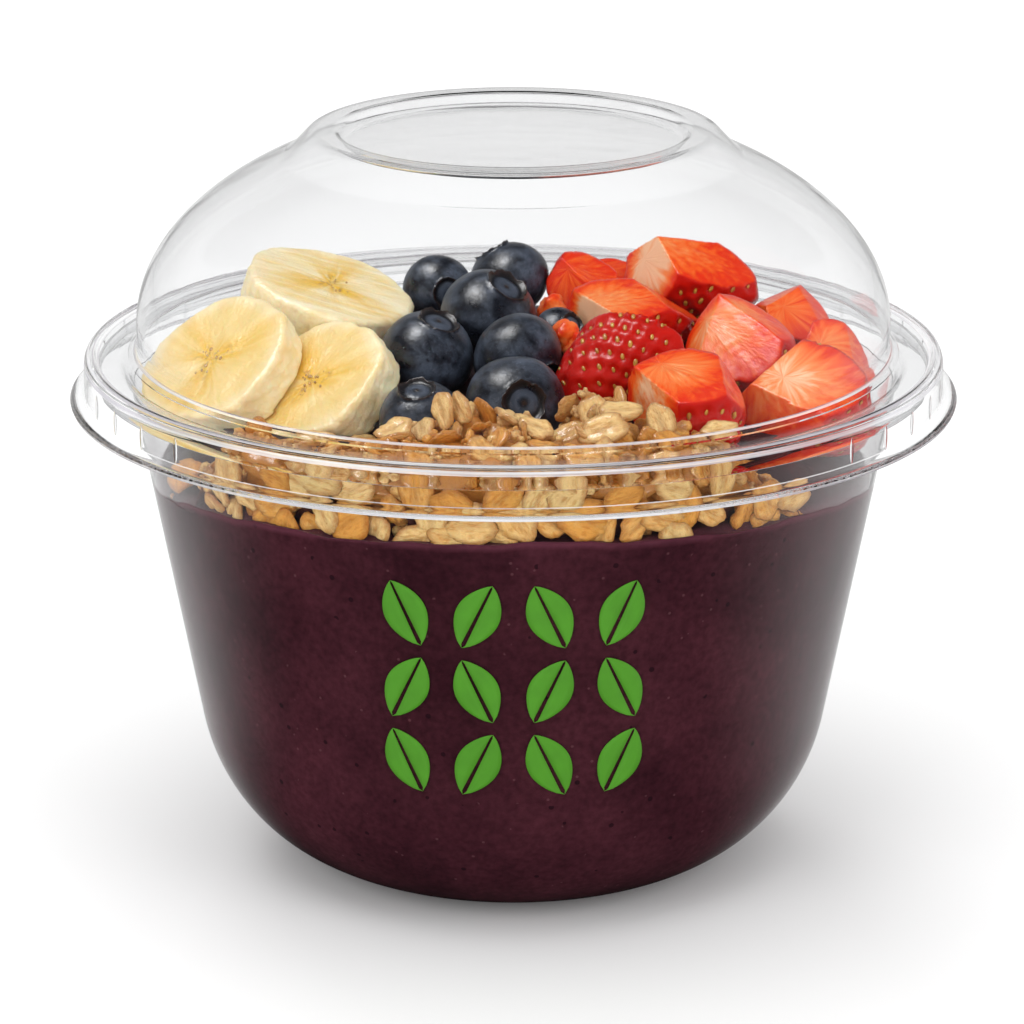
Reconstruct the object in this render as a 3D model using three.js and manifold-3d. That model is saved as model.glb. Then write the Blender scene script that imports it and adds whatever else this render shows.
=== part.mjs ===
// A clear plastic bowl of acai under a clear dome lid. On the acai lie banana slices,
// blueberries, strawberry pieces and a heap of granola.
// Millimetres, +Z up, the front is -Y. The origin is the middle of the bowl's flat base.
import * as THREE from "three";
import { mergeVertices } from "three/addons/utils/BufferGeometryUtils.js";
import Module from "manifold-3d";

const wasm = await Module();
wasm.setup();

// ---------------------------------------------------------------- driving dimensions
const lidAcross = 150; // over the lid's lowest edge
const totalHeight = 126.8;
const wallThick = 0.8;
const gap = 0.3; // between neighbouring solids
const around = 40; // facets round the bowl, the lid and the acai, all in step

const baseRadius = 25.4; // flat base, out to where the corner starts
const cornerWide = 29; // half axes of the elliptical corner
const cornerHigh = 32;
const wallSlope = 0.188; // growth of the radius per mm of height
const lipTop = 87.7; // upper face of the bowl's lip
const lipRadius = 70.5;
const lipNeck = 2.1; // the wall ends this far under the lip's top
const lipFlare = 1.3; // from there out to where the lip lies flat
const lipCurl = 2.7; // depth of the lip's turned-down edge

const plateauTop = 88.8; // the lid's flat ring, just over the bowl's lip
const domeCentreHeight = 94;
const domeRadius = 63.6;
const domeHigh = 35.4;
const domeFoot = 2.7; // how far the dome's curve goes on below its centre
const shoulderRadius = 38.3; // where the dome's curve meets the cone under the top
const topRingRadius = 33.9;
const topRingBevel = 0.6;
const recessRadius = 28.4;
const recessDeep = 1.9;
const beadRadius = 72.6; // the raised ring at the lid's edge
const beadHigh = 0.6;
const beadWide = 2.2;
const skirtBottom = 81.8;

const bananaRadius = 13.6;
const bananaThick = 6.8;
const bananaEdge = 1; // bevel of a slice's edges
const oatLong = 8.6; // one rolled oat

// ---------------------------------------------------------------- shared helpers
const rad = THREE.MathUtils.degToRad;

// A small seeded generator, so that every build is the same.
function randomFrom(seed) {
  let state = seed;
  return () => {
    state = (state * 1664525 + 1013904223) % 4294967296;
    return state / 4294967296;
  };
}

function material(color, roughness, opacity = 1) {
  const made = new THREE.MeshStandardMaterial({ color, roughness, metalness: 0 });
  made.opacity = opacity;
  made.transparent = opacity < 1;
  return made;
}

// Turns a profile of [radius, height] pairs round the Z axis, faces outward.
function turned(profile, segments) {
  let area = 0;
  for (let i = 0; i < profile.length; i++) {
    const [r0, z0] = profile[i];
    const [r1, z1] = profile[(i + 1) % profile.length];
    area += r0 * z1 - r1 * z0;
  }
  const ordered = area > 0 ? profile : [...profile].reverse();
  const points = ordered.map(([r, z]) => new THREE.Vector2(r, z));
  return new THREE.LatheGeometry(points, segments).rotateX(Math.PI / 2);
}

// Moves every corner of a geometry by a rule of its place.
function reshaped(geometry, rule) {
  const place = geometry.attributes.position;
  const point = new THREE.Vector3();
  for (let i = 0; i < place.count; i++) {
    point.fromBufferAttribute(place, i);
    rule(point);
    place.setXYZ(i, point.x, point.y, point.z);
  }
  return geometry;
}

function toSolid(geometry) {
  const bare = geometry.clone();
  bare.deleteAttribute("normal");
  bare.deleteAttribute("uv");
  const merged = mergeVertices(bare, 1e-4);
  const index = merged.index.array;
  const corners = [];
  for (let i = 0; i < index.length; i += 3) {
    const [a, b, c] = [index[i], index[i + 1], index[i + 2]];
    if (a !== b && b !== c && c !== a) corners.push(a, b, c);
  }
  return new wasm.Manifold(new wasm.Mesh({
    numProp: 3,
    vertProperties: new Float32Array(merged.attributes.position.array),
    triVerts: new Uint32Array(corners),
  }));
}

function toGeometry(solid) {
  const mesh = solid.getMesh();
  const geometry = new THREE.BufferGeometry();
  geometry.setAttribute("position", new THREE.BufferAttribute(new Float32Array(mesh.vertProperties), 3));
  geometry.setIndex(new THREE.BufferAttribute(new Uint32Array(mesh.triVerts), 1));
  return geometry;
}

// ---------------------------------------------------------------- bowl
const cornerEnd = -Math.atan((wallSlope * cornerHigh) / cornerWide);
const cornerSteps = 7;

// The corner's arc, drawn inside the outer face by an inset.
function cornerPoint(angle, inset) {
  const r = baseRadius + (cornerWide - inset) * Math.cos(angle);
  return [r, cornerHigh + (cornerHigh - inset) * Math.sin(angle)];
}

function cornerArc(inset) {
  const points = [];
  for (let i = 0; i <= cornerSteps; i++) {
    const share = i / cornerSteps;
    points.push(cornerPoint(-Math.PI / 2 + (cornerEnd + Math.PI / 2) * share, inset));
  }
  return points;
}

// Radius of the straight taper above the corner.
function taperRadius(z, inset) {
  const [joinR, joinZ] = cornerPoint(cornerEnd, 0);
  return joinR + wallSlope * (z - joinZ) - inset;
}

function bowlProfile() {
  const neck = lipTop - lipNeck;
  const neckRadius = taperRadius(neck, 0);
  const under = lipTop - wallThick;
  const curlBottom = lipTop - lipCurl;
  return [
    [0, 0],
    ...cornerArc(0),
    [neckRadius, neck],
    [neckRadius + lipFlare, under],
    [lipRadius - wallThick, under],
    [lipRadius - wallThick, curlBottom],
    [lipRadius, curlBottom],
    [lipRadius, under],
    [lipRadius - wallThick, lipTop],
    [neckRadius + lipFlare - wallThick / 2, lipTop],
    [neckRadius - wallThick, neck + wallThick / 2],
    ...cornerArc(wallThick).reverse(),
    [0, wallThick],
  ];
}

// ---------------------------------------------------------------- lid
function domePoint(angle) {
  return [domeRadius * Math.cos(angle), domeCentreHeight + domeHigh * Math.sin(angle)];
}

// The upper face of the lid, from the middle of its top to the edge of its skirt.
function lidPath() {
  const path = [
    [0, totalHeight - recessDeep],
    [recessRadius, totalHeight - recessDeep],
    [recessRadius + recessDeep / 2, totalHeight],
    [topRingRadius - topRingBevel, totalHeight],
    [topRingRadius, totalHeight - topRingBevel],
  ];
  const domeStart = Math.acos(shoulderRadius / domeRadius);
  const domeEnd = -Math.asin(domeFoot / domeHigh);
  const domeSteps = 6;
  for (let i = 0; i <= domeSteps; i++) {
    path.push(domePoint(domeStart + ((domeEnd - domeStart) * i) / domeSteps));
  }
  const beadInner = beadRadius - beadWide;
  path.push(
    [domeRadius + wallThick / 4, plateauTop + 1.4 * wallThick],
    [domeRadius + domeFoot, plateauTop],
    [beadInner, plateauTop],
    [beadInner + beadHigh, plateauTop + beadHigh],
    [beadRadius - beadHigh, plateauTop + beadHigh],
    [beadRadius, plateauTop - beadHigh / 2],
    [beadRadius, skirtBottom + wallThick],
    [lidAcross / 2, skirtBottom],
  );
  return path;
}

// A sheet hung under a path: the path, then its mitred offset on the lower side, back to the axis.
function sheet(path, thick) {
  const points = path.map(([r, z]) => new THREE.Vector2(r, z));
  const steps = points.slice(1).map((point, i) => point.clone().sub(points[i]).normalize());
  const lower = path.map(([r, z], i) => {
    if (i === 0) return [0, z - thick];
    const before = steps[i - 1];
    const after = steps[i] ?? before;
    const along = before.clone().add(after).normalize();
    const reach = thick / Math.max(along.dot(after), 0.5);
    return [r + along.y * reach, z - along.x * reach];
  });
  return [...path, ...lower.reverse()];
}

// ---------------------------------------------------------------- acai
const acai = {
  wallLevel: 66.5, // where its surface meets the wall at the sides
  frontRise: 7.2, // how much higher it meets the wall at the front
  backRise: 4,
  middle: 70,
  heap: 13.5, // the mound over all of it
  hollow: 14, // the dip at the front that holds the granola
  crest: 4, // the extra height of its rear half
};
const acaiInset = wallThick + gap;
const mouth = 62;

function acaiWallLevel(x, y) {
  const towards = Math.abs(y) / Math.max(Math.hypot(x, y), 1e-6);
  const rise = y < 0 ? acai.frontRise : acai.backRise;
  return acai.wallLevel + rise * Math.pow(towards, 0.8);
}

// Height of the acai's mounded surface.
function acaiTop(x, y) {
  const share = Math.min(Math.hypot(x, y) / mouth, 1);
  const base = acai.middle + (acaiWallLevel(x, y) - acai.middle) * share * share;
  const plateau = 1 - Math.pow(share, 5);
  const dip = Math.exp(-Math.pow((y + 45) / 30, 2) - Math.pow(x / 38, 2));
  const rear = (1 + Math.tanh((y - 10) / 12)) / 2;
  return base + (acai.heap - acai.hollow * dip + acai.crest * rear) * plateau;
}

// grow lifts the surface, which gives the clearance over it.
// The profile is turned with a flat top first, whose rings then go to the surface's own height.
function acaiGeometry(grow = 0) {
  const inset = acaiInset - grow;
  const corner = cornerArc(inset);
  const shares = [1, 0.93, 0.82, 0.66, 0.48, 0.28, 0.12, 0];
  const flat = shares.map((share) => [mouth * share, acai.middle]);
  const profile = [[0, inset], ...corner, ...flat];
  const rimAt = profile.length - shares.length;
  const geometry = turned(profile, around);
  const place = geometry.attributes.position;
  for (let i = 0; i < place.count; i++) {
    const ring = (i % profile.length) - rimAt;
    if (ring < 0) continue;
    const angle = (Math.floor(i / profile.length) / around) * 2 * Math.PI;
    const [sx, sy] = [Math.sin(angle), -Math.cos(angle)];
    const level = acaiWallLevel(sx, sy);
    const r = taperRadius(level, inset) * shares[ring];
    place.setXYZ(i, r * sx, r * sy, grow + (ring === 0 ? level : acaiTop(r * sx, r * sy)));
  }
  return geometry;
}

// ---------------------------------------------------------------- fruit
// Each maker takes how far to grow the shape, which gives the clearance cut round it.

function bananaGeometry({ wide = 1 }, grow = 0) {
  const r = bananaRadius * wide + grow;
  const h = bananaThick / 2 + grow;
  const flat = r - bananaEdge;
  const side = h - bananaEdge;
  const profile = [[0, -h], [flat, -h], [r, -side], [r, side], [flat, h], [0, h]];
  return reshaped(turned(profile, 20), (p) => {
    const angle = Math.atan2(p.y, p.x);
    const swell = 1 + 0.02 * Math.cos(5 * angle) + 0.012 * Math.sin(2 * angle + 1);
    p.x *= swell;
    p.y *= swell;
  });
}

function blueberryGeometry({ radius }, grow = 0) {
  const r = radius + grow;
  const profile = [[0, -0.9 * r]];
  const bodySteps = 5;
  for (let i = 1; i <= bodySteps; i++) {
    const angle = -Math.PI / 2 + (Math.PI * 0.87 * i) / bodySteps;
    profile.push([r * Math.cos(angle), 0.9 * r * Math.sin(angle)]);
  }
  profile.push([0.36 * r, 0.94 * r], [0.28 * r, 0.84 * r], [0, 0.78 * r]);
  return turned(profile, 12);
}

// A whole strawberry body with its tip on +Z, cut by flat faces given in its own frame.
function strawberryGeometry({ long, radius, faces }, grow = 0) {
  const profile = [[0, -0.42 * long - grow]];
  const shape = [[0.62, -0.4], [0.94, -0.24], [1, -0.02], [0.86, 0.2], [0.58, 0.4], [0.26, 0.54]];
  shape.forEach(([r, z]) => profile.push([r * radius + grow, z * long + Math.sign(z) * grow]));
  profile.push([0, 0.58 * long + grow]);
  let solid = toSolid(turned(profile, 12));
  const big = 90;
  faces.forEach(([x, y, z, offset]) => {
    const half = new THREE.BoxGeometry(big, big, big).translate(0, 0, offset + grow - big / 2);
    const normal = new THREE.Vector3(x, y, z).normalize();
    half.applyQuaternion(new THREE.Quaternion().setFromUnitVectors(new THREE.Vector3(0, 0, 1), normal));
    solid = solid.intersect(toSolid(half));
  });
  return toGeometry(solid);
}

const bananaMaterial = () => material(0xf3e3a8, 0.45);
const blueberryMaterial = () => material(0x2b3450, 0.5);
const strawberryMaterial = () => material(0xd8281c, 0.3);

// axis: which way the slice's upper face looks.
const bananas = [
  { at: [-49.2, -6.2, 86.3], axis: [-0.46, -0.45, 0.77], wide: 1.02 },
  { at: [-32.2, -11.4, 84.1], axis: [-0.46, -0.42, 0.78], wide: 0.97 },
  { at: [-32.4, 17, 92.6], axis: [0.27, -0.14, 0.95], wide: 1.07 },
];

// axis: where the crown points.
const blueberries = [
  { at: [0.4, -20, 84.2], radius: 8.4, axis: [0.2, -0.95, 0.35] },
  { at: [0.8, -4.1, 88.3], radius: 7.8, axis: [0.6, -0.55, -0.4] },
  { at: [-4.3, 11.9, 91.4], radius: 8.4, axis: [0.45, -0.3, 0.8] },
  { at: [-0.8, 30.8, 92.9], radius: 7.2, axis: [-0.5, 0.2, 0.85] },
  { at: [-13.2, 27.2, 92], radius: 6.2, axis: [0.3, -0.8, 0.1] },
  { at: [-14.6, -2.4, 88.2], radius: 8, axis: [0.3, -0.2, 0.9] },
  { at: [-15.2, -26, 83.6], radius: 6.9, axis: [-0.1, -0.3, 0.95] },
  { at: [7.9, 9.4, 88.9], radius: 4.5, axis: [0.5, -0.5, 0.5] },
];

// tip: where the berry's point lies. faces: [nx, ny, nz, distance from its middle], in the bowl's frame.
const strawberries = [
  {
    at: [13.4, 28, 92], long: 17, radius: 6.7, tip: [0.5, 0.2, -0.5],
    faces: [[-0.3, -0.2, 0.9, 3.4], [0.9, -0.1, 0, 3]],
  },
  {
    at: [18.2, 39.8, 89.6], long: 13, radius: 5, tip: [0.7, 0.2, -0.3],
    faces: [[0, -0.3, 0.9, 3.2], [-0.9, 0.1, 0, 4]],
  },
  {
    at: [29.8, 31, 94.2], long: 25, radius: 9, tip: [0.95, -0.05, -0.3],
    faces: [[-0.8, -0.5, 0.3, 6], [0.25, -0.1, 0.95, 4.2]],
  },
  {
    at: [19.6, 12.5, 91], long: 24, radius: 8.8, tip: [0.9, 0.3, -0.1],
    faces: [[-0.8, -0.6, 0, 6], [0, -0.2, 0.95, 3.6]],
  },
  {
    at: [19.4, -8.5, 88.6], long: 26, radius: 9.6, tip: [-0.85, -0.3, -0.4],
    faces: [[0.35, 0.85, 0.35, 1], [0.9, 0.2, 0.1, 8]],
  },
  {
    at: [28.2, -28.5, 87.4], long: 22, radius: 9.8, tip: [0.5, -0.4, -0.7],
    faces: [[-0.85, -0.5, 0, 6.2], [0, -0.25, 0.95, 4.6]],
  },
  {
    at: [38.6, 2, 88.4], long: 22, radius: 8.7, tip: [0.7, -0.3, -0.5],
    faces: [[-0.3, -0.7, 0.6, 3.2]],
  },
  {
    at: [48.3, -16.4, 85.2], long: 24, radius: 10.6, tip: [0.6, 0.1, -0.5],
    faces: [[0, -0.45, 0.88, 3], [-0.5, -0.8, 0, 6.5]],
  },
  {
    at: [48.4, 22.5, 87.4], long: 19, radius: 7.6, tip: [0.3, 0.3, -0.7],
    faces: [[0.2, -0.5, 0.8, 3], [-0.9, -0.2, 0.1, 5]],
  },
  {
    at: [54.8, 8.2, 83.2], long: 18, radius: 7.3, tip: [0.4, 0.2, -0.8],
    faces: [[0.2, -0.6, 0.75, 3.5], [-0.8, 0.3, 0.1, 4.8]],
  },
];

// Turns a fruit's own +Z towards its axis.
function facing([x, y, z]) {
  const towards = new THREE.Vector3(x, y, z).normalize();
  return new THREE.Quaternion().setFromUnitVectors(new THREE.Vector3(0, 0, 1), towards);
}

function fruitMesh(name, maker, spec, turn, makeMaterial) {
  const mesh = new THREE.Mesh(maker(spec), makeMaterial());
  mesh.name = name;
  mesh.position.set(...spec.at);
  mesh.quaternion.copy(turn);
  mesh.updateMatrixWorld();
  return { mesh, clearance: () => toSolid(maker(spec, gap).applyMatrix4(mesh.matrixWorld)) };
}

const fruit = [];
bananas.forEach((spec, i) => {
  fruit.push(fruitMesh(`banana_slice_${i + 1}`, bananaGeometry, spec, facing(spec.axis), bananaMaterial));
});
blueberries.forEach((spec, i) => {
  fruit.push(fruitMesh(`blueberry_${i + 1}`, blueberryGeometry, spec, facing(spec.axis), blueberryMaterial));
});
strawberries.forEach((spec, i) => {
  const turn = facing(spec.tip);
  const back = turn.clone().invert();
  const faces = spec.faces.map(([x, y, z, offset]) => {
    const local = new THREE.Vector3(x, y, z).applyQuaternion(back);
    return [local.x, local.y, local.z, offset];
  });
  const own = { ...spec, faces };
  fruit.push(fruitMesh(`strawberry_${i + 1}`, strawberryGeometry, own, turn, strawberryMaterial));
});

// The acai gives way under the fruit that is pressed into it.
function pressedAcai() {
  let solid = toSolid(acaiGeometry());
  fruit.forEach(({ clearance }) => {
    solid = solid.subtract(clearance());
  });
  return toGeometry(solid);
}

// ---------------------------------------------------------------- granola
const granola = {
  from: rad(-68), // along the front wall: 0 straight ahead, negative to the left
  to: rad(51),
  inner: 29, // radius of its inner foot
  crest: 88.4, // height of the core's ridge, straight ahead
  ridge: 0.45, // where the ridge lies, from the inner foot to the wall
  wallDrop: 4.2,
  innerDrop: 9,
  leftFall: 10, // how far it sinks towards its left end
  wallFall: 1.5, // the same where it leans on the wall
  endFall: 13, // at the very end
  rightFall: 13,
  seed: 7,
};
const granolaWall = taperRadius(76, wallThick + 2 * gap);

function granolaPlace(angle, share) {
  const r = granola.inner + (granolaWall - granola.inner) * share;
  return [r * Math.sin(angle), -r * Math.cos(angle)];
}

// Height of the heap's core, which falls off towards both ends of the heap.
function granolaTop(angle, share) {
  const atWall = THREE.MathUtils.smoothstep(share, 0.5, 0.85);
  const sink = granola.leftFall + (granola.wallFall - granola.leftFall) * atWall;
  const ending = granola.endFall * THREE.MathUtils.smoothstep(-angle, rad(49), rad(62));
  const leftFall = sink * THREE.MathUtils.smoothstep(-angle, rad(18), rad(46)) + ending;
  const rightFall = granola.rightFall * THREE.MathUtils.smoothstep(angle, rad(26), rad(60));
  const waves = 0.9 * Math.sin(9 * angle + 2) + 0.7 * Math.sin(19 * angle + 5 * share);
  const fromRidge = share - granola.ridge;
  const wallSide = fromRidge / (1 - granola.ridge);
  const innerSide = fromRidge / granola.ridge;
  const drop = fromRidge > 0 ? granola.wallDrop * wallSide ** 2 : granola.innerDrop * innerSide ** 2;
  const [x, y] = granolaPlace(angle, share);
  return Math.max(granola.crest - leftFall - rightFall + waves - drop, acaiTop(x, y) + 1);
}

function granolaCore() {
  const box = new THREE.BoxGeometry(1, 1, 1, 24, 4, 1);
  return reshaped(box, (p) => {
    const angle = granola.from + (p.x + 0.5) * (granola.to - granola.from);
    const share = 0.5 - p.y;
    const [x, y] = granolaPlace(angle, share);
    p.set(x, y, p.z > 0 ? granolaTop(angle, share) : acaiTop(x, y) - 1);
  });
}

// One rolled oat: a low flake, tilted by chance, then laid along a direction.
function oatGeometry(random, towards) {
  const long = (oatLong / 2) * (0.85 + 0.3 * random());
  const flake = new THREE.SphereGeometry(1, 6, 3).rotateX(Math.PI / 2);
  flake.scale(long, long * (0.72 + 0.15 * random()), long * 0.34);
  flake.rotateZ(Math.PI * random());
  flake.rotateX(rad(60) * (random() - 0.5));
  flake.rotateY(rad(60) * (random() - 0.5));
  return flake.applyQuaternion(facing(towards));
}

// Rows of oats: against the wall they face outward, on top they lie flat.
const oatRows = [
  { share: 0.965, below: 9.5, step: rad(18), out: 1 },
  { share: 0.97, below: 4.5, step: rad(17), out: 1 },
  { share: 0.9, below: 0, step: rad(17), out: 0.4 },
  { share: 0.62, below: 0, step: rad(18), out: 0 },
  { share: 0.36, below: 0.3, step: rad(24), out: -0.3 },
];

// Clusters of oats that stand above the rest, each piled up to its top.
const clusters = [
  { at: [13.4, -35], top: 92.4, oats: 5, spread: 4 },
  { at: [-8, -39], top: 90.2, oats: 4, spread: 3.6 },
];

function granolaGeometry() {
  const random = randomFrom(granola.seed);
  let heap = toSolid(granolaCore());
  oatRows.forEach(({ share, below, step, out }) => {
    for (let angle = granola.from + rad(5); angle < granola.to - rad(3); angle += step) {
      const turn = angle + (random() - 0.5) * step * 0.5;
      const [x, y] = granolaPlace(turn, share);
      const z = Math.max(granolaTop(turn, share) - below, acaiTop(x, y) + 2) + 0.6;
      const towards = [out * Math.sin(turn), -out * Math.cos(turn), 1 - Math.abs(out) + 0.05];
      heap = heap.add(toSolid(oatGeometry(random, towards).translate(x, y, z)));
    }
  });
  clusters.forEach(({ at: [x, y], top, oats, spread }) => {
    for (let i = 0; i < oats; i++) {
      const reach = spread * (0.5 + i / oats);
      const place = [x + reach * (random() - 0.5), y + reach * (random() - 0.5), top - (oatLong * i) / oats];
      const towards = [random() - 0.5, random() - 0.5, random() - 0.2];
      heap = heap.add(toSolid(oatGeometry(random, towards).translate(...place)));
    }
  });
  heap = heap.intersect(toSolid(turned(cavityProfile(), around)));
  heap = heap.subtract(toSolid(acaiGeometry(gap)));
  fruit.forEach(({ clearance }) => {
    heap = heap.subtract(clearance());
  });
  return toGeometry(largestPiece(heap));
}

// The free room in the bowl and under the lid, less the gap.
function cavityProfile() {
  const inset = wallThick + gap;
  const bottom = acai.wallLevel - granola.wallDrop;
  const neck = lipTop - lipNeck;
  return [
    [0, bottom],
    [taperRadius(bottom, inset), bottom],
    [taperRadius(neck, inset), neck],
    [domeRadius - inset, plateauTop],
    [domeRadius - inset, domeCentreHeight],
    [0, domeCentreHeight],
  ];
}

function largestPiece(solid) {
  const pieces = solid.decompose();
  return pieces.reduce((best, piece) => (piece.volume() > best.volume() ? piece : best));
}

// ---------------------------------------------------------------- assembly
function named(name, geometry, look) {
  const mesh = new THREE.Mesh(geometry, look);
  mesh.name = name;
  return mesh;
}

const bowlOfAcai = new THREE.Group();
bowlOfAcai.add(named("bowl", turned(bowlProfile(), around), material(0xf4f6f6, 0.08, 0.3)));
bowlOfAcai.add(named("lid", turned(sheet(lidPath(), wallThick), around), material(0xf7f9f9, 0.06, 0.25)));
bowlOfAcai.add(named("acai", pressedAcai(), material(0x4a1d33, 0.5)));
bowlOfAcai.add(named("granola", granolaGeometry(), material(0xcf9a52, 0.75)));
fruit.forEach(({ mesh }) => bowlOfAcai.add(mesh));

export default bowlOfAcai;
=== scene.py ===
# Looks of a clear bowl of acai under a dome lid: plastic, acai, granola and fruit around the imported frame.
# Sizes are in millimetres up to where a mesh is made; the front is -Y.
import bmesh
import bpy
import math
import numpy as np
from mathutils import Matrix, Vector


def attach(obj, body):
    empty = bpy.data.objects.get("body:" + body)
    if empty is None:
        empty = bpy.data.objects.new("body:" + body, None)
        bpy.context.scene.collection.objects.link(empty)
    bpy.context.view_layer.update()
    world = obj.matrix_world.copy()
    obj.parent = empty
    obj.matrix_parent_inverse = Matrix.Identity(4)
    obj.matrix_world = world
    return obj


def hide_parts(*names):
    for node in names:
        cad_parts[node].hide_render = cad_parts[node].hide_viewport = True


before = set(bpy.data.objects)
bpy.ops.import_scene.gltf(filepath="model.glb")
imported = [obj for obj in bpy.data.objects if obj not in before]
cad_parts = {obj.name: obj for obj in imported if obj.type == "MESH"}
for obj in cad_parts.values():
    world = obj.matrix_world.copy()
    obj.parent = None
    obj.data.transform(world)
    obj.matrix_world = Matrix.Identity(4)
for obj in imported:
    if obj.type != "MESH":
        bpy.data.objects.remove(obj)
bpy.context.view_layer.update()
scene = bpy.context.scene
mm = 0.001
aroundShell = 192  # faces around the bowl and the lid
anyPhase = (0, 6.28)  # range of a wave's random start
print("frame loaded:", len(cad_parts), "nodes")


def shadeSmooth(mesh):
    mesh.polygons.foreach_set("use_smooth", np.ones(len(mesh.polygons), bool))


# Makes an object from points in millimetres; attributes hold a number or a vector for each point.
def makePiece(name, points, faces, finish=None, attributes=None):
    mesh = bpy.data.meshes.new(name)
    mesh.from_pydata((np.asarray(points) * mm).tolist(), [], [tuple(face) for face in faces])
    shadeSmooth(mesh)
    for key, values in (attributes or {}).items():
        values = np.asarray(values, np.float32)
        kind, field = ("FLOAT_VECTOR", "vector") if values.ndim == 2 else ("FLOAT", "value")
        mesh.attributes.new(key, kind, "POINT").data.foreach_set(field, values.ravel())
    mesh.update()
    if finish:
        mesh.materials.append(finish)
    piece = bpy.data.objects.new(name, mesh)
    scene.collection.objects.link(piece)
    return piece


# Ties a finished piece to the body and hides the frame's nodes that it stands for; its slot name is not used.
def keepPiece(piece, slotName, *nodes):
    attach(piece, "root")
    if nodes:
        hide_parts(*nodes)


# Skins rings of points into a closed surface; a ring of one point is a pole.
def skinRings(rings):
    faces = []
    start = 0
    for lower, upper in zip(rings, rings[1:]):
        after = start + len(lower)
        count = max(len(lower), len(upper))
        for j in range(count):
            k = (j + 1) % count
            if len(lower) == 1:
                faces.append((start, after + k, after + j))
            elif len(upper) == 1:
                faces.append((start + j, start + k, after))
            else:
                faces.append((start + j, start + k, after + k, after + j))
        start = after
    return np.concatenate(rings), faces


# Skins rings and closes both ends at their middles.
def skinClosed(rings):
    return skinRings([rings[0].mean(0)[None], *rings, rings[-1].mean(0)[None]])


def turnsOf(count):
    return np.arange(count) * 2 * math.pi / count


# A ring of points around the Z axis; on the axis it is one point.
def ringOf(r, z, angle):
    if np.max(r) < 1e-6:
        return np.array([[0, 0, np.ravel(z)[0]]])
    return np.stack([r * np.cos(angle), r * np.sin(angle), z + 0 * angle], 1)


def spinProfile(profile, count):
    angle = turnsOf(count)
    return skinRings([ringOf(r, z, angle) for r, z in profile])


# Rounds the inner corners of an outline of [r, z, reach of the bend].
def bendOutline(corners, steps=7):
    path = [np.array(corners[0][:2], float)]
    for before, corner, after in zip(corners, corners[1:], corners[2:]):
        here = np.array(corner[:2], float)
        reach = corner[2] if len(corner) > 2 else 0
        if not reach:
            path.append(here)
            continue
        ends = []
        for other in (before, after):
            away = np.array(other[:2], float) - here
            ends.append(here + away * min(reach / np.linalg.norm(away), 0.49))
        for t in np.linspace(0, 1, steps):
            path.append((1 - t) ** 2 * ends[0] + 2 * t * (1 - t) * here + t ** 2 * ends[1])
    path.append(np.array(corners[-1][:2], float))
    return np.array(path)


# A sheet's closed section: the outline and its copy moved to the left by the thickness, from axis to axis.
def sheetSection(outline, thick):
    step = np.diff(outline, axis=0)
    step /= np.linalg.norm(step, axis=1)[:, None]
    after = np.vstack([step, step[-1:]])
    along = np.vstack([step[:1], step]) + after
    along /= np.linalg.norm(along, axis=1)[:, None]
    reach = thick / np.maximum((along * after).sum(1), 0.6)
    moved = outline + np.stack([-along[:, 1], along[:, 0]], 1) * reach[:, None]
    moved[0, 0] = 0
    return np.vstack([outline, moved[::-1]])


# Turns a piece's own +Z towards an axis.
def facing(axis):
    towards = np.array(axis, float) / np.linalg.norm(axis)
    cross = np.cross([0, 0, 1], towards)
    skew = np.array([[0, -cross[2], cross[1]], [cross[2], 0, -cross[0]], [-cross[1], cross[0], 0]])
    return np.eye(3) + skew + skew @ skew / (1 + towards[2])


def smoothStep(low, high, value):
    t = np.clip((value - low) / (high - low), 0, 1)
    return t * t * (3 - 2 * t)


# Soft unevenness from a few turned waves, about -1 to 1.
def waves(points, size, seed, count=9):
    rng = np.random.default_rng(seed)
    total = np.zeros(len(points))
    for _ in range(count):
        direction = rng.normal(size=3)
        direction /= np.linalg.norm(direction)
        stretch = rng.uniform(0.7, 1.6)
        total += np.sin(points @ direction * 2 * math.pi / (size * stretch) + rng.uniform(*anyPhase))
    return total / math.sqrt(count / 2) / 1.6


# Reads the three numbers of each vertex, such as "co" or "normal".
def vertexValues(mesh, key):
    values = np.zeros(len(mesh.vertices) * 3, np.float32)
    mesh.vertices.foreach_get(key, values)
    return values.reshape(-1, 3)


def facesOf(mesh):
    return [tuple(face.vertices) for face in mesh.polygons]


# Evenly spread directions and the triangles between them.
def icoDirections(level):
    mesh = bpy.data.meshes.new("ico")
    work = bmesh.new()
    bmesh.ops.create_icosphere(work, subdivisions=level, radius=1)
    work.to_mesh(mesh)
    work.free()
    points, faces = vertexValues(mesh, "co").astype(float), facesOf(mesh)
    bpy.data.meshes.remove(mesh)
    return points / np.linalg.norm(points, axis=1)[:, None], faces


# Turns the faces of a closed mesh outwards.
def turnOutwards(mesh):
    work = bmesh.new()
    work.from_mesh(mesh)
    bmesh.ops.recalc_face_normals(work, faces=work.faces)
    work.to_mesh(mesh)
    work.free()


# Joins shapes, each of points and faces, into one.
def joinShapes(shapes):
    faces, start = [], 0
    for points, shapeFaces in shapes:
        faces += [tuple(v + start for v in face) for face in shapeFaces]
        start += len(points)
    return np.concatenate([points for points, _ in shapes]), faces


# Adds a node; an input that is given a socket is linked to it.
def putNode(tree, kind, inputs=None, **settings):
    node = tree.nodes.new(kind)
    for key, value in settings.items():
        setattr(node, key, value)
    for key, value in (inputs or {}).items():
        if isinstance(value, bpy.types.NodeSocket):
            tree.links.new(value, node.inputs[key])
        else:
            node.inputs[key].default_value = value
    return node


def startMaterial(name, **sockets):
    material = bpy.data.materials.new(name)
    material.use_nodes = True
    shader = material.node_tree.nodes["Principled BSDF"]
    for key, value in sockets.items():
        shader.inputs[key.replace("_", " ")].default_value = value
    return material, material.node_tree, shader


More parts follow.
